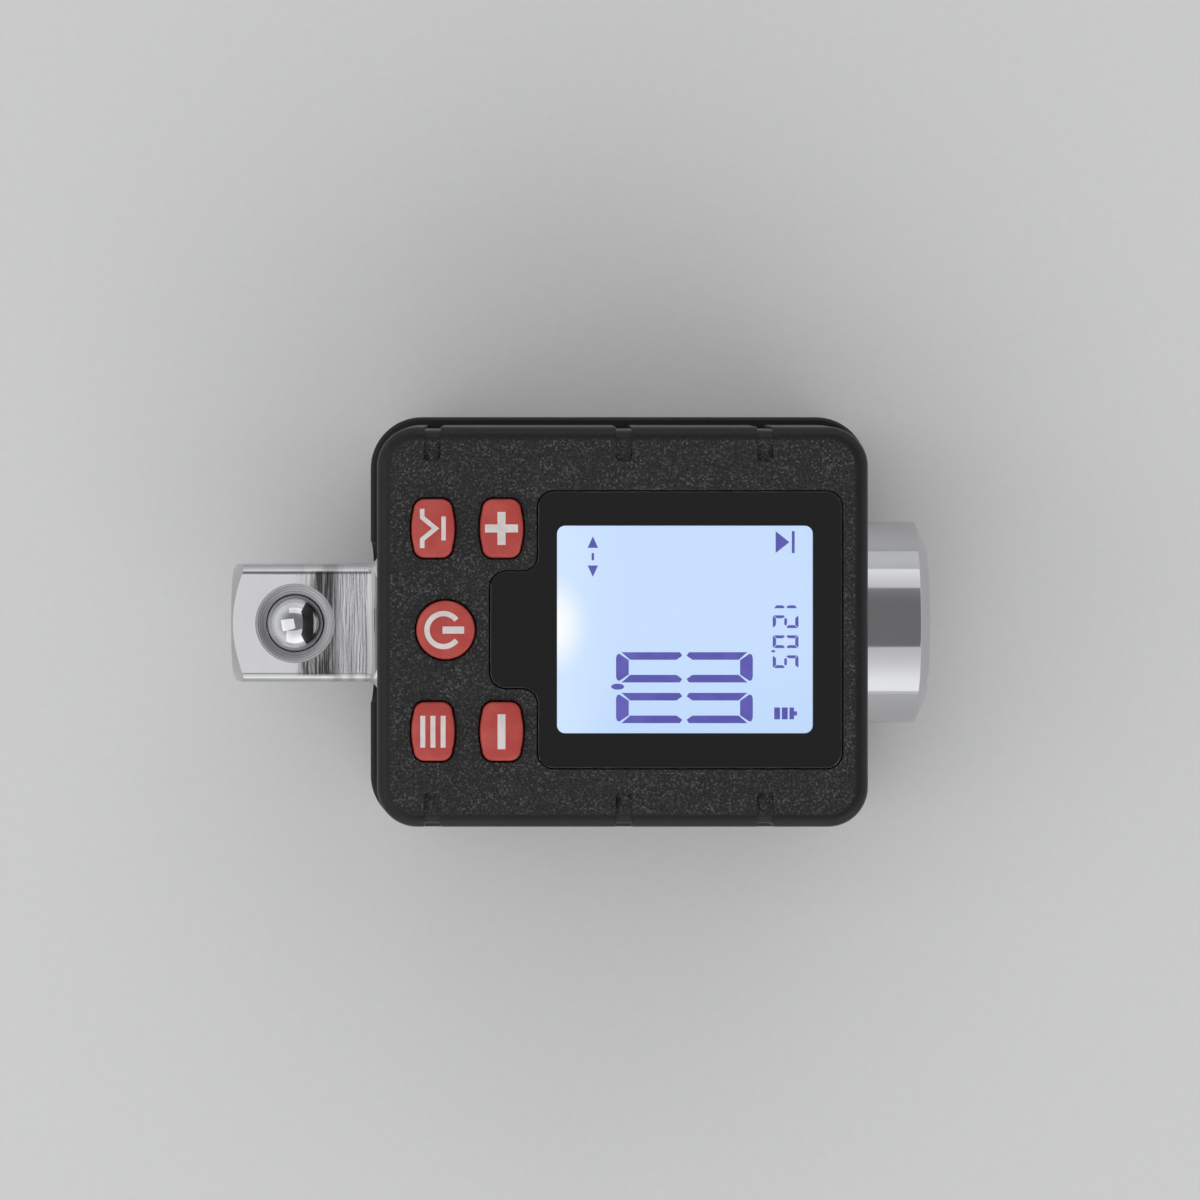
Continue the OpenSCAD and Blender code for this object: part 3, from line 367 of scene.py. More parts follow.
def moulded_black(name, side, half, corner, level):
    """Grained, with painted glints, inside the mould's flat face, satin elsewhere. The face lies past
    level:
    above it where side is 1, below it where side is -1."""
    material, tree, skin = new_finish(name)
    grain = use_group(tree, spark_grain, {"Cells": 4300.0})
    rubbed = use_group(tree, handling, {"Patches": 90.0})
    height = put(tree, "SeparateXYZ", {0: place_on(tree)}).outputs["Z"]
    beyond = spread(tree, product(tree, height, side), side * level, side * level + 0.05 * MM)
    face = product(tree, inside_plate(tree, COVER_MIDDLE, half, corner, GRAIN_FADE), beyond)
    grained = spread(tree, face, 0.0, 1.0, 0.22, 1.0)
    # Painted highlights: the grain's glints lighten the colour, on top of the real tone of the pits
    glint = product(tree, grain["Glint"], grained, 0.8)
    glint_and_pit_tone = combine(tree, "ADD", glint, spread(tree, grain["Height"], 0.38, 0.62, 0.0, 0.16))
    colour = between(tree, glint_and_pit_tone, GRAIN_BLACK, GRAIN_GLINT)
    shade = put(tree, "Mix", {0: grained, 6: (*SATIN_BLACK, 1), 7: colour}, data_type="RGBA").outputs[2]
    dull = spread(tree, grained, 0.2, 1.0, 0.40, 0.60)
    bump = put(tree, "Bump", {
        "Height": product(tree, grain["Height"], grained), "Strength": 1.0, "Distance": 0.07 * MM})
    join(tree, skin, {
        "Base Color": shade, "Specular IOR Level": 0.28,
        "Roughness": combine(tree, "SUBTRACT", dull, product(tree, rubbed["Smudge"], 0.05)),
        "Normal": bump.outputs[0]})
    return material


front_black = moulded_black("front_moulding", 1, **FACE_GRAIN)
rear_black = moulded_black("rear_moulding", -1, **BACK_GRAIN)

for node, name, material in (
        ("rear_cover", "rear_shell", rear_black), ("front_cover", "front_shell", front_black),
        ("battery_cover", "battery_door", rear_black)):
    shell = worked_copy(node, name, COVER_EDGE)
    dress(shell, material)
    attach(shell, "housing")
    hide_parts(node)

# The power supply in the rear cover: two nickel-plated coin cells between spring strips of plated
# brass, and two red sleeved wires up to the board
nickel, tree, skin = new_finish("nickel_can")
marks = use_group(tree, tool_marks, {"Lines": 2500.0, "Wander": 2500.0})
join(tree, skin, {
    "Base Color": between(tree, marks["Tone"], (0.50, 0.50, 0.50), (0.64, 0.63, 0.61)), "Metallic": 1.0,
    "Roughness": spread(tree, marks["Height"], 0.3, 0.7, 0.22, 0.38)})
dress(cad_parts["coin_cells"], nickel)

brass, tree, skin = new_finish("plated_brass")
marks = use_group(tree, tool_marks, {"Lines": 600.0, "Wander": 5000.0})
join(tree, skin, {
    "Base Color": between(tree, marks["Tone"], (0.62, 0.46, 0.20), (0.74, 0.58, 0.30)), "Metallic": 1.0,
    "Roughness": spread(tree, marks["Height"], 0.3, 0.7, 0.25, 0.4)})
for name in ("negative_contact", "positive_contact"):
    dress(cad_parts[name], brass)

sleeve, tree, skin = new_finish("wire_sleeve")
rubbed = use_group(tree, handling, {"Patches": 900.0})
join(tree, skin, {
    "Base Color": between(tree, rubbed["Smudge"], (0.36, 0.02, 0.02), (0.44, 0.04, 0.03)),
    "Roughness": spread(tree, rubbed["Smudge"], 0.0, 1.0, 0.35, 0.5)})
dress(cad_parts["battery_leads"], sleeve)

# The electronics: a green board with its chips and buzzer in black moulded packages, the white
# frame and light guide of the display, its lamp, and the striped rubber strip that joins the glass
board_green, tree, skin = new_finish("solder_mask")
tracks = put(tree, "TexBrick", {
    "Vector": place_on(tree), "Color1": (0.012, 0.09, 0.045, 1), "Color2": (0.010, 0.075, 0.038, 1),
    "Mortar": (0.02, 0.15, 0.075, 1), "Scale": 180.0, "Mortar Size": 0.03})
pads = use_group(tree, spark_grain, {"Cells": 900.0})
join(tree, skin, {
    "Base Color": tracks.outputs["Color"], "Roughness": spread(tree, pads["Tone"], 0.3, 0.7, 0.28, 0.42)})
dress(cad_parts["main_board"], board_green)

package, tree, skin = new_finish("chip_package")
pads = use_group(tree, spark_grain, {"Cells": 9000.0})
# Painted highlights: the grain's glints lighten the packages' black
join(tree, skin, {
    "Base Color": between(tree, pads["Glint"], (0.016, 0.016, 0.017), (0.06, 0.06, 0.06)),
    "Roughness": spread(tree, pads["Height"], 0.3, 0.7, 0.5, 0.7)})
for name in ("board_chips", "buzzer"):
    dress(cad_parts[name], package)


def pale_moulding(name, low, high, dull):
    """Light plastic with faint flow marks."""
    material, tree, skin = new_finish(name)
    rubbed = use_group(tree, handling, {"Patches": 260.0})
    join(tree, skin, {
        "Base Color": between(tree, rubbed["Smudge"], low, high),
        "Roughness": spread(tree, rubbed["Smudge"], 0.0, 1.0, dull, dull + 0.12)})
    return material


for node, name, low, high, dull in (
        ("lcd_holder", "holder_white", (0.70, 0.70, 0.67), (0.62, 0.62, 0.59), 0.4),
        ("light_guide", "guide_acrylic", (0.80, 0.85, 0.92), (0.74, 0.80, 0.88), 0.12),
        ("reflector_film", "white_film", (0.84, 0.84, 0.84), (0.78, 0.78, 0.78), 0.3),
        ("backlight_led", "lamp_body", (0.80, 0.80, 0.66), (0.74, 0.73, 0.58), 0.3)):
    dress(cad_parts[node], pale_moulding(name, low, high, dull))

zebra, tree, skin = new_finish("striped_rubber")
stripes = put(tree, "TexWave", {"Vector": place_on(tree), "Scale": 1400.0}, bands_direction="Y")
layer = spread(tree, stripes.outputs["Fac"], 0.45, 0.55)
join(tree, skin, {
    "Base Color": between(tree, layer, (0.03, 0.03, 0.03), (0.42, 0.42, 0.44)),
    "Roughness": spread(tree, layer, 0.0, 1.0, 0.6, 0.5)})
dress(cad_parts["contact_strip"], zebra)

# The display: two glasses with a polariser, lit from the left by one lamp, so that the pale blue
# field has a bright spot at its left edge and fades a little towards the far corners.
FIELD = (0.565, 0.73, 0.98)
FIELD_LEFT = (0.635, 0.795, 1.0)
FIELD_FAR = (0.52, 0.70, 0.97)
FIELD_SPOT = (0.97, 1.0, 1.0)
FIELD_POWER = 1.06
VIEW_LEFT = -2.49 * MM
LEFT_GLOW = (VIEW_LEFT - 1 * MM, VIEW_LEFT + 7.5 * MM)
FAR_FADE = (-3 * MM, -12 * MM)
LAMP_PLACE = (VIEW_LEFT - 0.6 * MM, 0.1 * MM, 0)
LAMP_SHAPE = (1.0, 0.72, 0)
LAMP_REACH = (0.6 * MM, 4.4 * MM)

lit_glass, tree, skin = new_finish("lit_display")
axes = put(tree, "SeparateXYZ", {0: place_on(tree)}).outputs
left_glow = spread(tree, axes["X"], *LEFT_GLOW, 1.0, 0.0, smooth=True)
far_fade = spread(tree, axes["Y"], *FAR_FADE)
from_lamp = vectors(tree, "SUBTRACT", place_on(tree), LAMP_PLACE)[0]
spot_reach = vectors(tree, "LENGTH", vectors(tree, "MULTIPLY", from_lamp, LAMP_SHAPE)[0])["Value"]
spot_glow = spread(tree, spot_reach, *LAMP_REACH, 1.0, 0.0, smooth=True)
field = shift(tree, left_glow, between(tree, far_fade, FIELD, FIELD_FAR), FIELD_LEFT)
field = shift(tree, spot_glow, field, FIELD_SPOT)
rubbed = use_group(tree, handling, {"Patches": 150.0})
join(tree, skin, {
    "Base Color": (0.03, 0.035, 0.04, 1), "Emission Color": field, "Emission Strength": FIELD_POWER,
    "Roughness": spread(tree, rubbed["Smudge"], 0.0, 1.0, 0.3, 0.4)})
dress(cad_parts["lcd_panel"], lit_glass)

# The shown figures: a large reading of plain seven-bar numbers with a smaller one beside it, a row of
# direction marks, a peak mark and a battery mark. They are dark violet shapes in the liquid crystal,
# so thin that they lie on the glass as a film. The display is read from the right-hand side.
GLASS_TOP = 37.3 * MM
INK_THICK = 0.02 * MM
INK = (0.075, 0.070, 0.37)
INK_THIN = (0.10, 0.09, 0.43)

# Places and sizes of the figures, in mm: a line's foot along X, where each number starts along Y, and a
# number's width, height and bar thickness at its sides and ends. A decimal point has two diameters.
READING_X = 3.70
READING_STARTS = {-2.70: "0", -6.97: "0"}
READING_BARS = (3.18, 14.36, 0.80, 1.34)
PEAK_X = 20.15
PEAK_STARTS = {3.25: "1", 1.17: "2", -0.93: "0", -3.03: "5"}
PEAK_BARS = (1.34, 2.70, 0.31, 0.34)
DECIMAL_POINTS = (((0.64, 1.38), (3.87, -6.32)), ((0.26, 0.42), (20.20, -2.60)))
ARROWS_AT = (0.72, 9.45)
PEAK_MARK_AT = (20.45, 10.0)
BATTERY_AT = (20.3, -8.5)


def flat_plates(name, outlines, low, high):
    """Closed thin plates, one for each outline of (x, y) points."""
    work = bmesh.new()
    for outline in outlines:
        area = sum(a[0] * b[1] - b[0] * a[1] for a, b in zip(outline, outline[1:] + outline[:1]))
        loop = outline if area > 0 else outline[::-1]
        below = [work.verts.new((x, y, low)) for x, y in loop]
        above = [work.verts.new((x, y, high)) for x, y in loop]
        work.faces.new(above)
        work.faces.new(below[::-1])
        for i in range(len(loop)):
            j = (i + 1) % len(loop)
            work.faces.new((below[i], below[j], above[j], above[i]))
    mesh = bpy.data.meshes.new(name)
    work.to_mesh(mesh)
    work.free()
    piece = bpy.data.objects.new(name, mesh)
    bpy.context.collection.objects.link(piece)
    return piece


def turned(points, corner):
    """Outline points given as (along the reading line, up), in mm, set down at a corner of the display."""
    return [((corner[0] + up) * MM, (corner[1] - along) * MM) for along, up in points]


def seven_bars(number, width, height, side_t, end_t):
    """The lit bars of one number, from the lower left corner. Sides are side_t thick, ends end_t."""
    lit_bars = {"0": "abcdef", "1": "bc", "2": "abged", "5": "afgcd"}[number]
    mid = height / 2
    top_half = [
        (0.77 * side_t, height), (0.32 * side_t, height - 0.08 * end_t),
        (0.2 * side_t, height - 0.26 * end_t), (1.04 * side_t, height - end_t)]
    middle_half = [
        (1.25 * side_t, mid - 0.42 * end_t), (0.8 * side_t, mid), (1.25 * side_t, mid + 0.42 * end_t)]
    bars = {
        "f": [(0, mid + 0.6 * side_t), (0.46 * side_t, mid + 0.28 * side_t), (side_t, mid + 1.05 * side_t),
              (side_t, height - 1.11 * end_t), (0, height - 0.42 * end_t)],
        "a": top_half + [(width - x, y) for x, y in top_half[::-1]],
        "g": middle_half + [(width - x, y) for x, y in middle_half[::-1]]}
    bars["b"] = [(width - x, y) for x, y in bars["f"]]
    bars["e"] = [(x, height - y) for x, y in bars["f"]]
    bars["c"] = [(width - x, height - y) for x, y in bars["f"]]
    bars["d"] = [(x, height - y) for x, y in bars["a"]]
    return [bars[b] for b in lit_bars]


def oval(long, wide, steps=20):
    turns = [math.tau * i / steps for i in range(steps)]
    return [(long / 2 * math.cos(a), wide / 2 * math.sin(a)) for a in turns]


def bar(x0, y0, x1, y1):
    return [(x0, y0), (x1, y0), (x1, y1), (x0, y1)]


figures = []
for start, number in READING_STARTS.items():
    figures += [turned(shape, (READING_X, start)) for shape in seven_bars(number, *READING_BARS)]
for start, number in PEAK_STARTS.items():
    figures += [turned(shape, (PEAK_X, start)) for shape in seven_bars(number, *PEAK_BARS)]
figures += [turned(oval(*across), corner) for across, corner in DECIMAL_POINTS]
arrows = [
    [(0, 0.55), (1.2, 1.1), (1.2, 0)], bar(1.75, 0.42, 2.5, 0.68), [(3.05, 0), (3.05, 1.1), (4.25, 0.55)]]
peak_mark = [[(0, 0), (2.3, 0), (1.15, 1.45)], bar(0, 1.7, 2.3, 2.0)]
last_cell = [
    (0, 1.60), (1.25, 1.60), (1.25, 2.08), (0.85, 2.08), (0.85, 2.40), (0.4, 2.40), (0.4, 2.08), (0, 2.08)]
battery = [bar(0, 0, 1.25, 0.62), bar(0, 0.80, 1.25, 1.42), last_cell]
for shapes, corner in ((arrows, ARROWS_AT), (peak_mark, PEAK_MARK_AT), (battery, BATTERY_AT)):
    figures += [turned(shape, corner) for shape in shapes]
shown = flat_plates("display_figures", figures, GLASS_TOP, GLASS_TOP + INK_THICK)

ink, tree, skin = new_finish("crystal_ink")
patches = use_group(tree, handling, {"Patches": 300.0})
join(tree, skin, {
    "Base Color": between(tree, patches["Smudge"], (0.03, 0.025, 0.10), (0.045, 0.04, 0.14)),
    "Emission Color": between(tree, patches["Smudge"], INK, INK_THIN), "Emission Strength": 1.0,
    "Roughness": 0.35})
dress(shown, ink)
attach(shown, "housing")

# The window: a clear acrylic lens with its edges broken, let into the face on black foam tape. Its
# back is printed black around the display, so that it looks like one black gloss panel.
LENS_EDGE = 0.10 * MM
clear, tree, skin = new_finish("clear_lens")
rubbed = use_group(tree, handling, {"Patches": 60.0})
join(tree, skin, {
    "Base Color": (0.97, 0.97, 0.98, 1), "Transmission Weight": 1.0, "IOR": 1.49,
    "Roughness": combine(
        tree, "ADD", spread(tree, rubbed["Smudge"], 0.0, 1.0, 0.012, 0.03),
        product(tree, rubbed["Scratch"], 0.02))})
lens = worked_copy("display_window", "window_lens", LENS_EDGE)
dress(lens, clear)
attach(lens, "housing")
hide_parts("display_window")

# Little lamp light is carried through the lens, so a trace of light of the print's own stands for it
STRAY_LIGHT = 0.008
print_black, tree, skin = new_finish("black_print")
pads = use_group(tree, spark_grain, {"Cells": 2500.0})
join(tree, skin, {
    "Emission Color": (1.0, 1.0, 1.0, 1.0), "Emission Strength": STRAY_LIGHT,
    "Base Color": between(tree, pads["Tone"], (0.020, 0.020, 0.021), (0.027, 0.027, 0.028)),
    "Roughness": spread(tree, pads["Height"], 0.3, 0.7, 0.45, 0.6)})
dress(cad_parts["window_mask"], print_black)

foam, tree, skin = new_finish("foam_tape")
pads = use_group(tree, spark_grain, {"Cells": 4000.0})
join(tree, skin, {
    "Base Color": between(tree, pads["Height"], (0.012, 0.012, 0.012), (0.03, 0.03, 0.03)),
    "Roughness": spread(tree, pads["Tone"], 0.3, 0.7, 0.75, 0.95)})
dress(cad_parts["window_tape"], foam)

# The keypad sheet: one sheet of red moulded silicone with a thin domed web under each key, which
# springs the key back. It lies on the board, beside the holder of the display.
silicone, tree, skin = new_finish("red_silicone")
rubbed = use_group(tree, handling, {"Patches": 350.0})
join(tree, skin, {
    "Base Color": between(tree, rubbed["Smudge"], (0.30, 0.045, 0.035), (0.36, 0.06, 0.05)),
    "Roughness": spread(tree, rubbed["Smudge"], 0.0, 1.0, 0.55, 0.7)})
dress(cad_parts["keypad_sheet"], silicone)
for key in ("power", "plus", "minus", "peak", "memory"):
    dress(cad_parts[key + "_dome"], silicone)

# The five keys: red plastic caps with slightly domed, softly rounded tops, glued to the sheet. Each
# carries a pale printed symbol: plus, minus, a ring and bar, a peak under a line, and three lines.
KEY_TOP = 40.97 * MM
KEY_RISE = 0.16 * MM
KEY_ROUND = 0.36 * MM
KEY_RED = (0.51, 0.055, 0.045)
KEY_WORN = (0.57, 0.085, 0.068)
LEGEND_THICK = 0.03 * MM
FLANGE_OUT = 0.5 * MM
FLANGE_TOP = 37.3 * MM
FLANGE_LOW = 36.5 * MM
PILL_R = 1.2 * MM
PILL_LOW = 33.85 * MM
KEY_HALF = (2.25 * MM, 3.05 * MM)
KEY_CORNER = 1.1 * MM
KEY_BULGE = 0.25 * MM
KEY_CREASED_FROM = math.radians(50)
ROUND_STEPS = 6
CROWN_RINGS = (0.85, 0.65, 0.45, 0.25, 0.08)
POWER_SHIFT = 0.2 * MM
LEGEND_MESH = 0.45 * MM

key_red, tree, skin = new_finish("key_red")
pads = use_group(tree, spark_grain, {"Cells": 5200.0})
rubbed = use_group(tree, handling, {"Patches": 420.0})
bump = put(tree, "Bump", {"Height": pads["Height"], "Strength": 0.35, "Distance": 0.01 * MM})
join(tree, skin, {
    "Base Color": between(tree, rubbed["Smudge"], KEY_RED, KEY_WORN),
    "Roughness": spread(tree, rubbed["Smudge"], 0.0, 1.0, 0.46, 0.36), "Normal": bump.outputs[0]})

legend_white, tree, skin = new_finish("legend_print")
rubbed = use_group(tree, handling, {"Patches": 900.0})
join(tree, skin, {
    "Base Color": between(tree, rubbed["Smudge"], (0.84, 0.78, 0.75), (0.74, 0.67, 0.64)),
    "Roughness": spread(tree, rubbed["Smudge"], 0.0, 1.0, 0.5, 0.65)})


def barrel(inset):
    """Outline of a key with bulged long sides, drawn in by inset, counter-clockwise."""
    steps = 8
    half_w, half_l, r = KEY_HALF[0] - inset, KEY_HALF[1] - inset, KEY_CORNER - inset
    chord = half_l - r
    big = (chord * chord + KEY_BULGE * KEY_BULGE) / (2 * KEY_BULGE)
    flank = []
    for i in range(steps + 1):
        y = -chord + 2 * chord * i / steps
        flank.append((half_w - big + math.sqrt(big * big - y * y), y))
    for i in range(1, steps + 1):
        a = math.pi / 2 * i / steps
        flank.append((half_w - KEY_BULGE - r + r * math.cos(a), chord + r * math.sin(a)))
    mirrored = [(-x, y) for x, y in flank[:steps:-1]] + [(-x, y) for x, y in flank[steps::-1]]
    below = [(-x, -y) for x, y in flank[steps + 1:]] + [(x, -y) for x, y in flank[:steps:-1]]
    return flank + mirrored + below


def disc(inset, steps=64):
    """Outline of the round key, drawn in by inset."""
    r = KEY_HALF[1] - inset
    return [(r * math.cos(math.tau * i / steps), r * math.sin(math.tau * i / steps)) for i in range(steps)]


def crown(x, y):
    """Height of a key's top over its own middle."""
    return KEY_TOP - KEY_RISE * ((x / KEY_HALF[1]) ** 2 + (y / KEY_HALF[1]) ** 2)


def key_cap(name, outline, at):
    """A closed key: pill, flange, skirt, rounded edge and domed top, as rings around its axis."""
    work = bmesh.new()
    top_edge = outline(KEY_ROUND)
    angles = [math.atan2(y, x) for x, y in top_edge]
    pill = [(PILL_R * math.cos(a), PILL_R * math.sin(a)) for a in angles]
    wide = outline(-FLANGE_OUT)
    full = outline(0)
    rings = [[(x, y, PILL_LOW) for x, y in pill], [(x, y, FLANGE_LOW) for x, y in pill]]
    rings += [[(x, y, FLANGE_LOW) for x, y in wide], [(x, y, FLANGE_TOP) for x, y in wide]]
    rings.append([(x, y, FLANGE_TOP) for x, y in full])
    for step in range(ROUND_STEPS + 1):
        a = math.pi / 2 * step / ROUND_STEPS
        drawn = outline(KEY_ROUND * (1 - math.cos(a)))
        drop = KEY_ROUND * (1 - math.sin(a))
        rings.append([(x, y, crown(x, y) - drop) for x, y in drawn])
    for share in CROWN_RINGS:
        rings.append([(x * share, y * share, crown(x * share, y * share)) for x, y in top_edge])
    made = [[work.verts.new((at[0] + x, at[1] + y, z)) for x, y, z in ring] for ring in rings]
    for low, high in zip(made, made[1:]):
        for i in range(len(low)):
            j = (i + 1) % len(low)
            work.faces.new((low[i], low[j], high[j], high[i]))
    work.faces.new(made[0][::-1])
    work.faces.new(made[-1])
    mesh = bpy.data.meshes.new(name)
    work.to_mesh(mesh)
    work.free()
    mesh.polygons.foreach_set("use_smooth", [True] * len(mesh.polygons))
    mesh.set_sharp_from_angle(angle=KEY_CREASED_FROM)
    piece = bpy.data.objects.new(name, mesh)
    bpy.context.collection.objects.link(piece)
    return piece


def stroke(points, thick):
    """A band of even width along an open line of points, with mitred corners."""
    left, right = [], []
    legs = [Vector(b) - Vector(a) for a, b in zip(points, points[1:])]
    sides = [Vector((-leg.y, leg.x)).normalized() for leg in legs]
    for i, point in enumerate(points):
        met = sides[max(i - 1, 0):i + 1]
        side = sum(met, Vector((0, 0))).normalized()
        side *= thick / 2 / side.dot(met[0])
        left.append(tuple(Vector(point) + side))
        right.append(tuple(Vector(point) - side))
    return left + right[::-1]


def ring_part(r, thick, start, end, steps=40):
    turns = [math.radians(start + (end - start) * i / steps) for i in range(steps + 1)]
    return stroke([(r * math.cos(a), r * math.sin(a)) for a in turns], thick)


def cross(reach, half):
    """Outline of a plus, from one arm that is turned round in quarters."""
    arm = [(-half, -half), (-half, -reach), (half, -reach)]
    corners = list(arm)
    for _ in range(3):
        arm = [(-y, x) for x, y in arm]
        corners += arm
    return corners


LEGENDS = {
    "plus": [cross(1.72, 0.42)],
    "minus": [bar(-0.41, -1.82, 0.41, 1.82)],
    "power": [ring_part(1.72, 0.55, 38, 322), bar(-0.1, -0.37, 2.15, 0.37)],
    "peak": [stroke([(-1.12, 2.05), (-1.12, 1.15), (0.28, 0), (-1.12, -1.15), (-1.12, -2.05)], 0.48),
             bar(0.88, -1.25, 1.34, 1.25)],
    "memory": [bar(-1.32, -1.66, -0.80, 1.66), bar(-0.26, -1.66, 0.26, 1.66), bar(0.80, -1.66, 1.32, 1.66)],
}


def legend(name, outlines, at):
    """A printed symbol that follows the key's domed top."""
    print_film = flat_plates(name, [[(x * MM, y * MM) for x, y in o] for o in outlines], -LEGEND_THICK, 0)
    work = bmesh.new()
    work.from_mesh(print_film.data)
    bmesh.ops.triangulate(work, faces=work.faces)
    for _ in range(3):
        long_edges = [e for e in work.edges if e.calc_length() > LEGEND_MESH]
        bmesh.ops.subdivide_edges(work, edges=long_edges, cuts=1)
        bmesh.ops.triangulate(work, faces=[f for f in work.faces if len(f.verts) > 3])
    for v in work.verts:
        v.co = (at[0] + v.co.x, at[1] + v.co.y, crown(v.co.x, v.co.y) + v.co.z + LEGEND_THICK * 0.5)
    work.to_mesh(print_film.data)
    work.free()
    return print_film


for key, symbol in LEGENDS.items():
    low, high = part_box(key + "_key")
    at = ((low.x + high.x) / 2, (low.y + high.y) / 2)
    cap = key_cap(key + "_cap", disc if key == "power" else barrel, at)
    dress(cap, key_red)
    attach(cap, key + "_button")
    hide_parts(key + "_key")
    mark = legend(key + "_symbol", symbol, (at[0] - (POWER_SHIFT if key == "power" else 0), at[1]))
    dress(mark, legend_white)
    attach(mark, key + "_button")

# The screws: zinc-plated steel with cross recesses. Four long ones join the covers from the back, two
# short ones hold the battery cover, two hold the shaft and four hold the board.
zinc, tree, skin = new_finish("zinc_plate")
marks = use_group(tree, tool_marks, {"Lines": 4000.0, "Wander": 4000.0})
rubbed = use_group(tree, handling, {"Patches": 500.0})
join(tree, skin, {
    "Base Color": between(tree, rubbed["Smudge"], (0.50, 0.51, 0.53), (0.40, 0.40, 0.40)), "Metallic": 1.0,
    "Roughness": spread(tree, marks["Tone"], 0.3, 0.7, 0.28, 0.42)})


def new_form(name, sizes, material):
    """An empty geometry tree with named inputs in metres, and its ends."""
    form = bpy.data.node_groups.new(name, "GeometryNodeTree")
    form.interface.new_socket("Geometry", in_out="INPUT", socket_type="NodeSocketGeometry")
    for label in sizes:
        form.interface.new_socket(label, in_out="INPUT", socket_type="NodeSocketFloat")
    form.interface.new_socket("Geometry", in_out="OUTPUT", socket_type="NodeSocketGeometry")
    start, end = form.nodes.new("NodeGroupInput"), form.nodes.new("NodeGroupOutput")
    whole = form.nodes.new("GeometryNodeRealizeInstances")
    coat = form.nodes.new("GeometryNodeSetMaterial")
    coat.inputs["Material"].default_value = material
    form.links.new(whole.outputs[0], coat.inputs["Geometry"])
    form.links.new(coat.outputs[0], end.inputs[0])
    return form, start.outputs, whole.inputs[0]


def grow(form, kind, sockets=None, **settings):
    """Adds a geometry node, as put does for a shader."""
    made = form.nodes.new(kind)
    for key, value in settings.items():
        setattr(made, key, value)
    join(form, made, sockets or {})
    return made


def figure(form, how, first, second):
    return grow(form, "ShaderNodeMath", {0: first, 1: second}, operation=how).outputs[0]


def lifted(form, mesh, z):
    up = grow(form, "ShaderNodeCombineXYZ", {"Z": z}).outputs[0]
    return grow(form, "GeometryNodeTransform", {"Geometry": mesh, "Translation": up}).outputs[0]


# A screw's form: the crown and its rim as shares of the head's height and radius, and the recess's two
# arms as shares of its radius
HEAD_SIDES = 40
SHANK_SIDES = 24
CROWN_SHARE = 0.35
RIM_SHARE = 0.72
ARM_LONG = 1.25
ARM_WIDE = 0.26
SCREW_CREASED_FROM = math.radians(28)
SCREW_SIZES = ("Head Radius", "Head Height", "Shank Radius", "Length", "Recess")
screw_form, size, result = new_form("screws_at_points", SCREW_SIZES, zinc)
crown_h = figure(screw_form, "MULTIPLY", size["Head Height"], CROWN_SHARE)
wall_h = figure(screw_form, "SUBTRACT", size["Head Height"], crown_h)
rim_r = figure(screw_form, "MULTIPLY", size["Head Radius"], RIM_SHARE)
wall = grow(screw_form, "GeometryNodeMeshCylinder", {
    "Vertices": HEAD_SIDES, "Radius": size["Head Radius"], "Depth": wall_h})
wall = lifted(screw_form, wall.outputs[0], figure(screw_form, "MULTIPLY", wall_h, -0.5))
dome = grow(screw_form, "GeometryNodeMeshCone", {
    "Vertices": HEAD_SIDES, "Radius Top": rim_r, "Radius Bottom": size["Head Radius"],
    "Depth": crown_h, "Side Segments": 1})
dome = grow(screw_form, "GeometryNodeTransform", {"Geometry": dome.outputs[0], "Rotation": (math.pi, 0, 0)})
dome = lifted(screw_form, dome.outputs[0], figure(screw_form, "MULTIPLY", wall_h, -1.0))
shank = grow(screw_form, "GeometryNodeMeshCylinder", {
    "Vertices": SHANK_SIDES, "Radius": size["Shank Radius"], "Depth": size["Length"]})
shank = lifted(screw_form, shank.outputs[0], figure(screw_form, "MULTIPLY", size["Length"], 0.5))
solid = grow(screw_form, "GeometryNodeMeshBoolean", operation="UNION")
for part in (wall, dome, shank):
    screw_form.links.new(part, solid.inputs["Mesh 2"])

# The cross recess: two crossed blocks, sunk into the top of the head
arm = figure(screw_form, "MULTIPLY", size["Head Radius"], ARM_LONG)
slot_w = figure(screw_form, "MULTIPLY", size["Head Radius"], ARM_WIDE)
depth = figure(screw_form, "MULTIPLY", size["Recess"], 2.0)
head_top = figure(screw_form, "MULTIPLY", size["Head Height"], -1.0)
cut = grow(screw_form, "GeometryNodeMeshBoolean", {"Mesh 1": solid.outputs[0]}, operation="DIFFERENCE")
for long, wide in ((arm, slot_w), (slot_w, arm)):
    span = grow(screw_form, "ShaderNodeCombineXYZ", {"X": long, "Y": wide, "Z": depth})
    block = grow(screw_form, "GeometryNodeMeshCube", {"Size": span.outputs[0]})
    screw_form.links.new(lifted(screw_form, block.outputs[0], head_top), cut.inputs["Mesh 2"])
copies = grow(screw_form, "GeometryNodeInstanceOnPoints", {
    "Points": size["Geometry"], "Instance": cut.outputs[0]})
screw_form.links.new(copies.outputs[0], result)


def at_points(name, form, points, sizes):
    """One plain mesh from a form that is set on points."""
    mesh = bpy.data.meshes.new(name)
    mesh.from_pydata(points, [], [])
    piece = bpy.data.objects.new(name, mesh)
    bpy.context.collection.objects.link(piece)
    grown = piece.modifiers.new("form", "NODES")
    grown.node_group = form
    for item in form.interface.items_tree:
        if item.in_out == "INPUT" and item.name in sizes:
            grown[item.identifier] = sizes[item.name]
    piece = settle(piece)
    piece.data.polygons.foreach_set("use_smooth", [True] * len(piece.data.polygons))
    piece.data.set_sharp_from_angle(angle=SCREW_CREASED_FROM)
    return piece


def corner_places(node, reach, level):
    """The four places in from the corners of a node's box."""
    low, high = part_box(node)
    return [(x, y, level) for x in (low.x + reach, high.x - reach) for y in (low.y + reach, high.y - reach)]


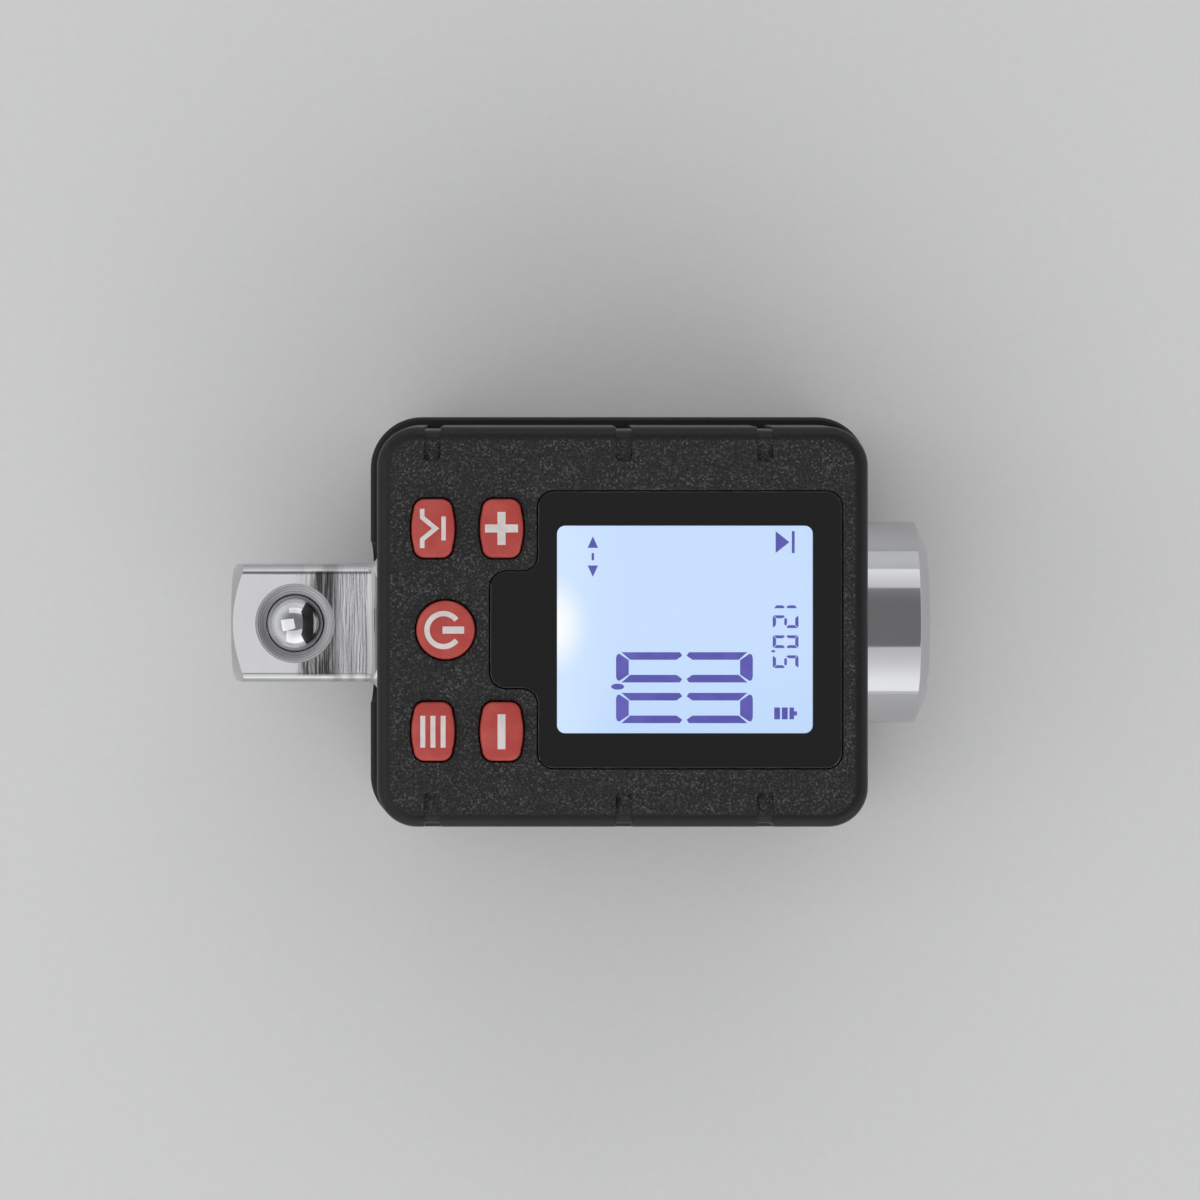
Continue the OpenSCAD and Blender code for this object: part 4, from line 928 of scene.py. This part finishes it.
def side_places(node, reach, level):
    """The two places in from the sides of a node's box, half-way along it."""
    low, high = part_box(node)
    middle = (low.x + high.x) / 2
    return [(middle, y, level) for y in (low.y + reach, high.y - reach)]


# Each set: the node it replaces, its name, its places, and its sizes in mm in the order above
for node, name, places, sizes in (
        ("case_screws", "cover_screws", corner_places("case_screws", 2.2 * MM, 10 * MM),
         (2.2, 1.8, 1.25, 14.0, 1.2)),
        ("battery_cover_screws", "door_screws", side_places("battery_cover_screws", 1.7 * MM, 0.9 * MM),
         (1.7, 0.9, 1.0, 5.0, 0.6)),
        ("board_screws", "board_fixings", corner_places("board_screws", 1.7 * MM, 31.8 * MM),
         (1.7, 1.3, 1.0, 4.5, 0.9))):
    screws = at_points(name, screw_form, places, {k: v * MM for k, v in zip(SCREW_SIZES, sizes)})
    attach(screws, "housing")
    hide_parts(node)
dress(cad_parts["shaft_screws"], zinc)

# The stage: a wide floor of pale paper under the back of the housing
FLOOR_CORNERS = bar(-4, -4, 4, 4)
floor_mesh = bpy.data.meshes.new("floor")
floor_mesh.from_pydata([(x, y, 0) for x, y in FLOOR_CORNERS], [], [(0, 1, 2, 3)])
floor = bpy.data.objects.new("floor", floor_mesh)
bpy.context.collection.objects.link(floor)
paper, tree, skin = new_finish("pale_paper")
fibre = put(tree, "TexNoise", {"Vector": place_on(tree), "Scale": 900.0, "Detail": 3.0})
join(tree, skin, {
    "Base Color": between(tree, fibre.outputs["Fac"], (0.80, 0.80, 0.80), (0.84, 0.84, 0.84)),
    "Roughness": 0.9})
dress(floor, paper)

# Soft studio light: a large panel over the left, which the drive's flat mirrors, a low one in front,
# a weak one behind, and a pale room whose ceiling is darker than its walls
WALL_TONE = (0.80, 0.81, 0.82)
CEILING_TONE = (0.24, 0.24, 0.245)
CEILING_SETS_IN = (0.25, 0.95)
AIM = (0, 0, 0.02)


def panel(name, place, size, power):
    light = bpy.data.lights.new(name, "AREA")
    light.shape = "RECTANGLE"
    light.size, light.size_y = size
    light.energy = power
    lamp = bpy.data.objects.new(name, light)
    bpy.context.collection.objects.link(lamp)
    lamp.location = place
    lamp.rotation_euler = (Vector(AIM) - Vector(place)).to_track_quat("-Z", "Y").to_euler()


panel("panel_left", (-0.52, -0.10, 1.0), (0.85, 1.1), 2.5)
panel("panel_front", (0.15, -0.98, 0.68), (1.9, 1.3), 4.4)
panel("panel_back", (0.1, 0.95, 0.75), (1.2, 0.5), 1.05)

room = bpy.data.worlds.new("room")
room.use_nodes = True
bpy.context.scene.world = room
tree = room.node_tree
sky = tree.nodes["Background"]
aloft = put(tree, "SeparateXYZ", {0: put(tree, "TexCoord").outputs["Generated"]}).outputs["Z"]
overhead = spread(tree, aloft, *CEILING_SETS_IN, smooth=True)
join(tree, sky, {"Color": between(tree, overhead, WALL_TONE, CEILING_TONE), "Strength": 1.0})

# The camera: straight above the housing, as in the photograph, with the picture shifted to match.
# EYE_PIXEL is how far the point below the eye lies from the middle of the photograph, in its pixels.
# The lens of 143.6 mm on a sensor of 36 mm stands for a focal length of 4785 such pixels.
EYE_PLACE = (-4.8 * MM, 12.43 * MM, 540 * MM)
EYE_PIXEL = (65, -92)
PHOTO_SIDE = 1200
SENSOR_MM = 36
LENS_MM = 143.6
camera = bpy.data.cameras.new("camera")
camera.sensor_width = SENSOR_MM
camera.lens = LENS_MM
camera.shift_x = EYE_PIXEL[0] / PHOTO_SIDE
camera.shift_y = EYE_PIXEL[1] / PHOTO_SIDE
camera.clip_start = 0.01
eye = bpy.data.objects.new("camera", camera)
bpy.context.collection.objects.link(eye)
eye.location = EYE_PLACE
bpy.context.scene.camera = eye

bpy.context.scene.view_settings.view_transform = "Standard"
